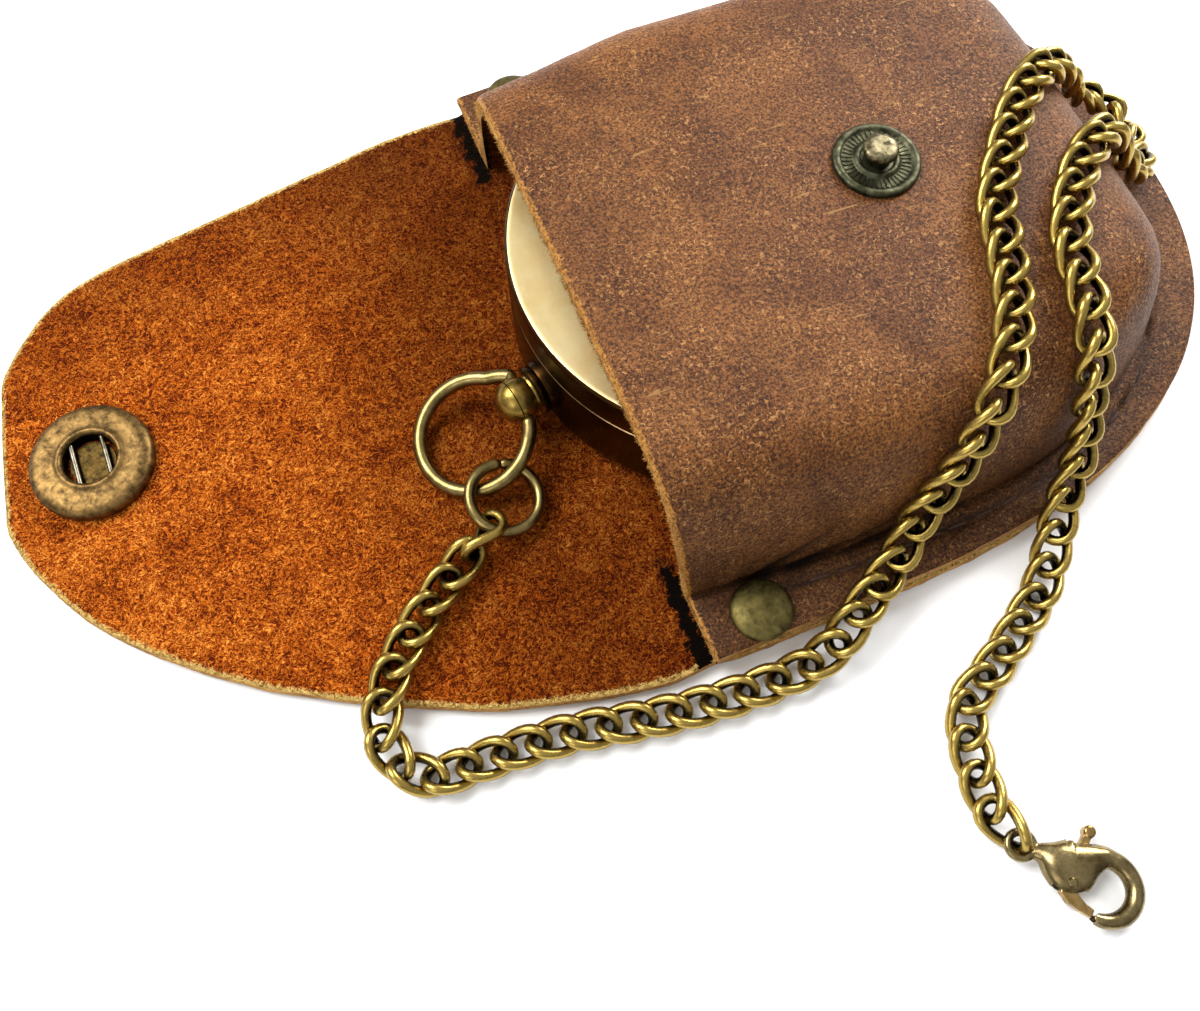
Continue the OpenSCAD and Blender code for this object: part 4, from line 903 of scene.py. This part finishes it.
# The chain's way, the same control points as in the part's source
chainRoute = [(-35.51, -17.31, 4.75), (-41.64, -20.82, 3.57), (-46.73, -24.51, 4), (-52, -29.5, 3.7),
              (-54.7, -34.6, 2.7), (-52.4, -40, 1.8), (-45.9, -40.6, 1.4), (-36.8, -41.4, 1.6),
              (-27.3, -43.4, 1.5), (-19.7, -44.5, 1.7), (-13.1, -44.8, 1.5), (-7.3, -44.5, 3), (-2.4, -41.7, 5.2),
              (2.8, -38.8, 5.8), (6.3, -35.9, 8.5), (10.5, -33.9, 13.6), (13.8, -31.6, 18.1), (17.4, -27.9, 21.1),
              (20.8, -22.7, 22.1), (23.6, -15.8, 22.2), (25.7, -10.2, 22.2), (30.2, -4.6, 22.2), (35, .8, 22.1),
              (40.1, 4.3, 21.4), (45.6, 5.6, 17.6), (50.3, 6.7, 11), (56.1, 5, 7.2), (57.4, 0, 5.9), (55.5, -4, 7),
              (50.7, -5.9, 10.8), (46.2, -4.9, 17), (42.3, -6, 21), (37.6, -8.6, 21.9), (33.8, -12.6, 22.2),
              (30.6, -17.2, 22.1), (29.2, -22.4, 21.8), (28.2, -28, 19.9), (27.6, -32.4, 13.6), (26.8, -35.9, 8.1),
              (23.7, -39.4, 5.4), (21.2, -43.1, 3), (18, -47, 1.5), (13.7, -49.6, 1.6), (9, -52.5, 1.5),
              (3.47, -55.43, 1.9), (1.2, -63.28, 1.89), (1.09, -67.51, 1.83), (1.88, -69.01, 2.17)]
chainUp = [(-.57, -1.66, -.28), (-.05, .02, 1.01), (.07, -.26, .99), (.38, .71, 1.31), (-.18, .11, 1.08),
           (.03, .04, 1.02), (0, 0, 1.02), (-.01, -.03, 1.03), (0, 0, 1), (0, 0, 1), (-.06, 0, .97), (0, 0, 1),
           (-.04, -.14, .98), (.08, -.49, .89), (-.19, -.67, .74), (.15, -.91, .7), (.29, -.93, .81),
           (0, -.4, 1), (.02, -.05, .96), (0, 0, 1), (.01, -.01, .96), (0, 0, 1), (0, 0, 1), (.26, -.02, .91),
           (.65, -.02, 1.01), (2.11, 0, .86), (.97, -.69, .6), (.78, -.11, 1.08), (.79, .04, .4),
           (.97, .12, .8), (.17, .27, 1), (.58, .21, 1.52), (0, 0, 1), (-.1, .07, 1.02), (0, 0, 1), (0, 0, 1),
           (-.02, -.92, .83), (.54, -.43, 1.57), (.07, -1.75, .82), (-.1, -.84, 1.02), (.07, .09, .85),
           (0, .07, 1.2), (.08, .08, .95), (0, 0, 1), (0, 0, 1), (-.51, .19, 1), (-.09, .35, 1), (-.14, -.15, 1)]
chain = {"links": 78, "rolls": {0: 131.1, 77: 39}, "smoothing": 8}
# each stretch of links: first, last, the body it rides on and the node it stands for
stretches = {"chainOnFlap": (0, 5, "flap", "chain_flap"), "chainCorner": (6, 6, "flap", "chain_corner"),
             "chainTurn": (7, 7, "chain_edge", "chain_corner"), "chainEdge": (8, 16, "chain_edge", "chain_edge"),
             "chainKnee": (17, 17, "pouch", "chain_knee"), "chainRise": (18, 40, "pouch", "chain_rise"),
             "chainReturn": (41, 70, "pouch", "chain_return"), "chainTail": (71, 77, "chain_tail", "chain_tail")}


def chainFrames():
    line, ups = smoothLine(chainRoute, chain["smoothing"]), smoothLine(chainUp, chain["smoothing"])
    way = lengths(line)
    pitch = way[-1] / chain["links"]
    places, turns = [], []
    for i in range(chain["links"]):
        s = (i + 0.5) * pitch
        a, b = at(way, line, s - pitch / 2), at(way, line, s + pitch / 2)
        ahead = (b - a) / np.linalg.norm(b - a)
        up = at(way, ups, s)
        up -= (up @ ahead) * ahead
        up /= np.linalg.norm(up)
        side = np.cross(up, ahead)
        roll = math.radians(chain["rolls"].get(i, 0))
        v, w = math.cos(roll) * side + math.sin(roll) * up, math.cos(roll) * up - math.sin(roll) * side
        places.append((a + b) / 2)
        turns.append(tuple(Matrix((ahead, v, w)).transposed().to_euler("XYZ")))
    return places, turns


def buildChain():
    places, turns = chainFrames()
    tree = linkTree()
    for name, (first, last, body, node) in stretches.items():
        piece = grow(name, tree, {**link, "Finish": chainBrass}, places[first:last + 1], turns[first:last + 1])
        if name != "chainKnee":
            finish(piece, body, "antique_brass", node)
            continue
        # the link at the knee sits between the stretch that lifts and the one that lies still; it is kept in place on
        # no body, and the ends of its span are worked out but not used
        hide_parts(node)
        start, end = (tuple(float(c) * mm for c in 1.5 * places[first] - 0.5 * places[k])
                      for k in (last + 1, first - 1))
        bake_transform(piece)
        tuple(start)
        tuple(end)


buildChain()
print("chain made,", chain["links"], "links")


# Stitches, loose fibres and ribs, each set out on points by the same tree
stitching = {"pitch": 3.4, "sunk": 0.36, "tip": [(52.4, -2.5), (52.7, 0), (52.4, 2.5)],
             "line": [(-1.25, 0, -0.5), (-1.05, 0, -0.12), (-0.5, 0, 0.06), (0.5, 0, 0.06), (1.05, 0, -0.12),
                      (1.25, 0, -0.5)], "thread": 0.2}
fibres = {"count": 1500, "seed": 7, "wide": 1.3, "long": (0.3, 0.9), "inset": (0.0, 1.3), "spread": 0.8}
shapes = {"stitch": sweep(smoothLine(stitching["line"], 3), stitching["thread"], 8, start=(0, 1, 0)),
          "fibre": ([(0.05, 0, 0), (-0.025, 0.043, 0), (-0.025, -0.043, 0), (0.06, 0.03, 0.55), (0.12, 0.1, 1.0)],
                    [[0, 1, 3], [1, 2, 3], [2, 0, 3], [0, 2, 1]]),
          "rib": ([(x, y, z) for x in (-0.5, 0.5) for y, z in ((-0.1, 0), (-0.05, 0.1), (0.05, 0.1), (0.1, 0))],
                  [[0, 1, 5, 4], [1, 2, 6, 5], [2, 3, 7, 6], [0, 4, 7, 3], [3, 2, 1, 0], [4, 5, 6, 7]])}
shapes = {name: addMesh(name + "Shape", *part, []) for name, part in shapes.items()}


def repeatTree():
    tree, add, given = newTree("repeatShape", [("Shape", "Object")])
    endTree(add, given, add("GeometryNodeObjectInfo", {"Object": given["Shape"]}).outputs["Geometry"])
    return tree


repeatShape = repeatTree()


def repeat(name, shape, material, slot, *points):
    finish(grow(name, repeatShape, {"Shape": shapes[shape], "Finish": material}, *points), "pouch", slot)


def seamLine():
    # plan of the stitches, just outside the moulding's foot
    xs = np.concatenate([np.linspace(-6, 40, 60), np.linspace(40.5, 51.5, 40)])
    near = [(x, -seamWidth(x, -1)) for x in xs]
    far = [(x, seamWidth(x, 1)) for x in xs[::-1]]
    tip = smoothLine([near[-1], *stitching["tip"], far[0]], 6)[1:-1]
    line = np.array(near + [tuple(p) for p in tip] + far)
    ahead = np.gradient(line, axis=0)
    ahead /= np.linalg.norm(ahead, axis=1)[:, None]
    return line + np.stack([ahead[:, 1], -ahead[:, 0]], axis=1) * moulding["grooveAt"]


def buildStitches():
    line = seamLine()
    way = lengths(line)
    count = int(way[-1] / stitching["pitch"])
    places, turns = [], []
    for s in ((k + 0.5) * way[-1] / count for k in range(count)):
        (x, y), (x2, y2) = at(way, line, s), at(way, line, s + 0.5)
        places.append((x, y, marginZ - stitching["sunk"]))
        turns.append((0, 0, math.atan2(y2 - y, x2 - x)))
    repeat("stitches", "stitch", threadBrown, "hide", places, turns)


def buildFibres():
    # loose fibres stand off the raw mouth edge; a fixed seed keeps them where they are
    draw = np.random.default_rng(fibres["seed"])
    edge = frontSkin[0]
    way = lengths(edge)
    places, turns, sizes = [], [], []
    for k in range(fibres["count"]):
        p = at(way, edge, draw.uniform(0, way[-1]))
        inward = np.array((0.1, -p[1], -(p[2] - 2) * 1.2))
        inward /= np.linalg.norm(inward)
        places.append(p + inward * draw.uniform(*fibres["inset"]) + (-0.08, 0, 0))
        aim = Vector((-1.0, draw.normal(0, fibres["spread"]), draw.normal(0.2, fibres["spread"]))).normalized()
        turns.append(tuple(aim.to_track_quat("Z", "Y").to_euler("XYZ")))
        sizes.append((fibres["wide"], fibres["wide"], draw.uniform(*fibres["long"])))
    repeat("mouthFibres", "fibre", rawEdge, "hide", places, turns, sizes)


def buildRibs():
    places, turns = [], []
    for a in (2 * math.pi * k / stud["ribs"] for k in range(stud["ribs"])):
        spot = (stud["ribRho"] * math.cos(a), stud["ribRho"] * math.sin(a), stud["ribZ"])
        place = studMatrix() @ Matrix.Translation(spot) @ Matrix.Rotation(a, 4, "Z")
        places.append(tuple(place.translation))
        turns.append(tuple(place.to_euler("XYZ")))
    repeat("studRibs", "rib", studBronze, "antique_brass", places, turns, [stud["ribSize"]] * stud["ribs"])


buildStitches()
buildFibres()
buildRibs()
for shape in shapes.values():
    bpy.data.objects.remove(shape)
print("stitches, fibres and ribs made")


# Lobster clasp: a cast hook body and a stamped gate with a thumb knob, drawn flat and then turned into place
clasp = {"place": (2.1, -69.7, 1.65), "turn": -53.5, "hook": (9.0, 0.35), "hookR": 3.08, "voxel": 0.12,
         "relax": 6, "gateVoxel": 0.09, "gateRelax": 4, "steps": 4, "eye": 1.3, "eyeWire": 0.47,
         "neck": [(1.1, 0.0, 0), (2.2, 0.35, 0), (3.4, 0.4, 0), (4.6, 0.5, 0), (5.5, 0.85, 0), (6.5, 2.1, 0)],
         "neckWide": [0.62, 1.15, 2.15, 2.85, 2.8, 1.95], "neckThick": [0.5, 0.95, 1.4, 1.58, 1.58, 1.48],
         "bands": [0, 2, 6, 15, 19, 21], "hookWide": [1.3, 1.02, .96, .92, .75, .6],
         "hookThick": [1.3, 1.15, 1.05, .98, .85, .75],
         "slot": [(4.2, -4), (9.4, -4), (9.4, -1.2), (6.9, -0.5), (6.6, 1), (6.3, 6), (3.1, 6), (4.2, 0)],
         "slotHalf": 0.66, "hole": [(0, -3), (0.84, -3), (0.84, 3), (0, 3)],
         "gate": [(4.95, -1.3), (4.95, 0.6), (5.0, 4.4), (5.85, 4.4), (5.95, 0.8), (6.3, -0.5), (6.9, -1.6),
                  (7.8, -2.0), (8.75, -2.1), (8.8, -3.0), (7.4, -2.95), (6.2, -2.85), (5.2, -2.3)],
         "gateHalf": 0.5, "thumbAt": (5.45, 4.75, 0), "pinAt": (5.6, -1, 0),
         "thumb": [(0, -0.75), (0.45, -0.75), (0.64, -0.6), (0.68, -0.3), (0.68, 0.3), (0.64, 0.6), (0.45, 0.75),
                   (0, 0.75)],
         "pin": [(0, -1.55), (0.35, -1.55), (0.5, -1.4), (0.5, 1.4), (0.35, 1.55), (0, 1.55)]}


def claspMatrix(unit=1):
    return Matrix.Translation(Vector(clasp["place"]) * unit) @ Matrix.Rotation(math.radians(clasp["turn"]), 4, "Z")


def slab(outline, half):
    n = len(outline)
    points = [(x, y, z) for z in (-half, half) for x, y in outline]
    sides = [[k, (k + 1) % n, n + (k + 1) % n, n + k] for k in range(n)]
    return np.array(points, float), [list(range(n))[::-1], list(range(n, 2 * n))] + sides


def castPiece(name, part, voxel, smoothing, cutters, material, body, slot, node):
    piece = addMesh(name, *part, [])
    remesh = piece.modifiers.new("voxel", "REMESH")
    remesh.mode, remesh.voxel_size, remesh.use_smooth_shade = "VOXEL", voxel * mm, True
    relax = piece.modifiers.new("relax", "SMOOTH")
    relax.iterations, relax.factor = smoothing, 0.5
    tools = [addMesh(name + "Cutter", *cutter, []) for cutter in cutters]
    for tool in tools:
        cut = piece.modifiers.new("cut", "BOOLEAN")
        cut.operation, cut.object, cut.solver = "DIFFERENCE", tool, "EXACT"
    mesh = bpy.data.meshes.new_from_object(piece.evaluated_get(bpy.context.evaluated_depsgraph_get()))
    piece.modifiers.clear()
    piece.data = mesh
    for tool in tools:
        bpy.data.objects.remove(tool)
    mesh.transform(claspMatrix(mm))
    mesh.materials.clear()
    mesh.materials.append(material)
    finish(piece, body, slot, node)


def buildClasp():
    hx, hy = clasp["hook"]
    r = clasp["hookR"]
    arc = [(hx + r * math.cos(t), hy + r * math.sin(t), 0) for t in (math.radians(a) for a in range(118, -93, -10))]
    path = smoothLine(clasp["neck"] + arc, clasp["steps"])
    wide, thick = (
        smoothLine(clasp["neck" + way] + list(np.interp(range(len(arc)), clasp["bands"], clasp["hook" + way])),
                   clasp["steps"]) for way in ("Wide", "Thick"))
    body = sweep(path, list(zip(wide, thick)), 28)
    eye = sweep(circle(clasp["eye"], 48), clasp["eyeWire"], 16, closed=True)
    castPiece("claspBody", joined(body, eye), clasp["voxel"], clasp["relax"],
              [slab(clasp["slot"], clasp["slotHalf"]), lathe(clasp["hole"], 32)], claspBrass, "clasp", "antique_brass",
              "clasp_body")
    thumb = placed(lathe(clasp["thumb"], 32), Matrix.Translation(clasp["thumbAt"]))
    castPiece("claspGate", joined(slab(clasp["gate"], clasp["gateHalf"]), thumb), clasp["gateVoxel"],
              clasp["gateRelax"], [], leverBrass, "lever", "pale_brass", "clasp_lever")
    addPiece("claspRivet", lathe(clasp["pin"], 28), [claspBrass], "clasp", "antique_brass", "clasp_rivet",
             place=claspMatrix() @ Matrix.Translation(clasp["pinAt"]))


buildClasp()
print("clasp made")


# Printed dial card: cream, with a ring of black degree ticks
dial = {"card": "#efe8d4", "ink": "#1b1b1b", "ticks": 72, "tickHalf": 0.09, "ringAt": 0.019, "ringHalf": 0.0015}


def makeDial():
    material, add, shade, place = newMaterial("printedDialCard")
    spot = add("SeparateXYZ", [place]).outputs
    angle = add("Math", [spot["Y"], spot["X"]], operation="ARCTAN2")
    steps = add("Math", [angle, dial["ticks"] / (2 * math.pi), 0.5], operation="MULTIPLY_ADD")
    tick = add("Math", [add("Math", [steps], operation="FRACT"), 0.5, dial["tickHalf"]], operation="COMPARE")
    flat = add("CombineXYZ", [spot["X"], spot["Y"]])
    reach = add("VectorMath", [flat], operation="LENGTH").outputs["Value"]
    ring = add("Math", [reach, dial["ringAt"], dial["ringHalf"]], operation="COMPARE")
    ink = add("Math", [tick, ring], operation="MULTIPLY")
    shade({"Base Color": add("Mix", {0: ink, 6: dial["card"], 7: dial["ink"]}, data_type="RGBA"), "Roughness": 0.6})
    return material


# Mineral glass: clear, with a faint uneven polish
def makeGlass():
    material, add, shade, place, smear = newMaterial("mineralGlass", [(3.0, 4.0, 0.5, 0.0)])
    shade({"Base Color": "#f4f8f8", "Transmission Weight": 1.0, "IOR": 1.5,
           "Roughness": add("Math", [smear, 0.04, 0.01], operation="MULTIPLY_ADD")})
    return material


# CAD nodes whose shapes are right keep them and get their finish here
finishes = {"rivet_backs": rivetBrass, "stud_eyelet": rivetBrass, "lid_hinge_pin": caseBronze, "pivot_pin": springSteel,
            "needle": blued, "needle_cap": knobBrass, "spacer_ring": caseBronze, "bezel_ring": knobBrass,
            "button_spring": springSteel, "lid_catch": springSteel, "dial": makeDial(), "glass": makeGlass()}
for name, material in finishes.items():
    materials = nodes[name].data.materials
    materials.clear()
    materials.append(material)
print("CAD nodes finished")


# Pale floor and soft studio light: a dome of light that is brighter overhead than at the horizon, and three lamps
studio = {"floor": "#f6f6f6", "floorHalf": 3.0, "sky": [(0.0, 0.3), (0.75, 1.0), (0.3, 0.5)], "strength": 0.72}
lamps = [("overhead", (-0.30, 0.26, 0.50), (0, 0, 0), 0.35, 5.0),  # name, place, aim, size and power
         ("window", (0.42, 0.24, 0.30), (0, 0, 0.01), 0.22, 4.0),
         ("fill", (-0.45, -0.30, 0.35), (-0.02, 0, 0), 0.30, 0.8)]


def addStage():
    material, add, shade, place = newMaterial("paleFloor")
    shade({"Base Color": studio["floor"], "Roughness": 0.7})
    mesh = bpy.data.meshes.new("floor")
    half = studio["floorHalf"]
    mesh.from_pydata([(-half, -half, 0), (half, -half, 0), (half, half, 0), (-half, half, 0)], [], [(0, 1, 2, 3)])
    mesh.materials.append(material)
    addObject("floor", mesh)
    world = bpy.data.worlds.new("studio")
    world.use_nodes = True
    tree = world.node_tree
    above = addNode(tree, "SeparateXYZ", [addNode(tree, "TexCoord").outputs["Generated"]]).outputs["Z"]
    sky = addNode(tree, "ValToRGB", [above], studio["sky"])
    setInputs(tree, tree.nodes["Background"], {"Color": sky, "Strength": studio["strength"]})
    bpy.context.scene.world = world
    bpy.context.scene.view_settings.view_transform = "Standard"  # keeps the leather's strong colours


def addLamps():
    for name, place, aim, size, power in lamps:
        data = bpy.data.lights.new(name, "AREA")
        data.shape, data.size, data.energy = "SQUARE", size, power
        lamp = addObject(name, data)
        lamp.location = place
        lamp.rotation_euler = (Vector(place) - Vector(aim)).to_track_quat("Z", "Y").to_euler()


addStage()
addLamps()
print("stage and lamps set")

bpy.context.view_layer.update()
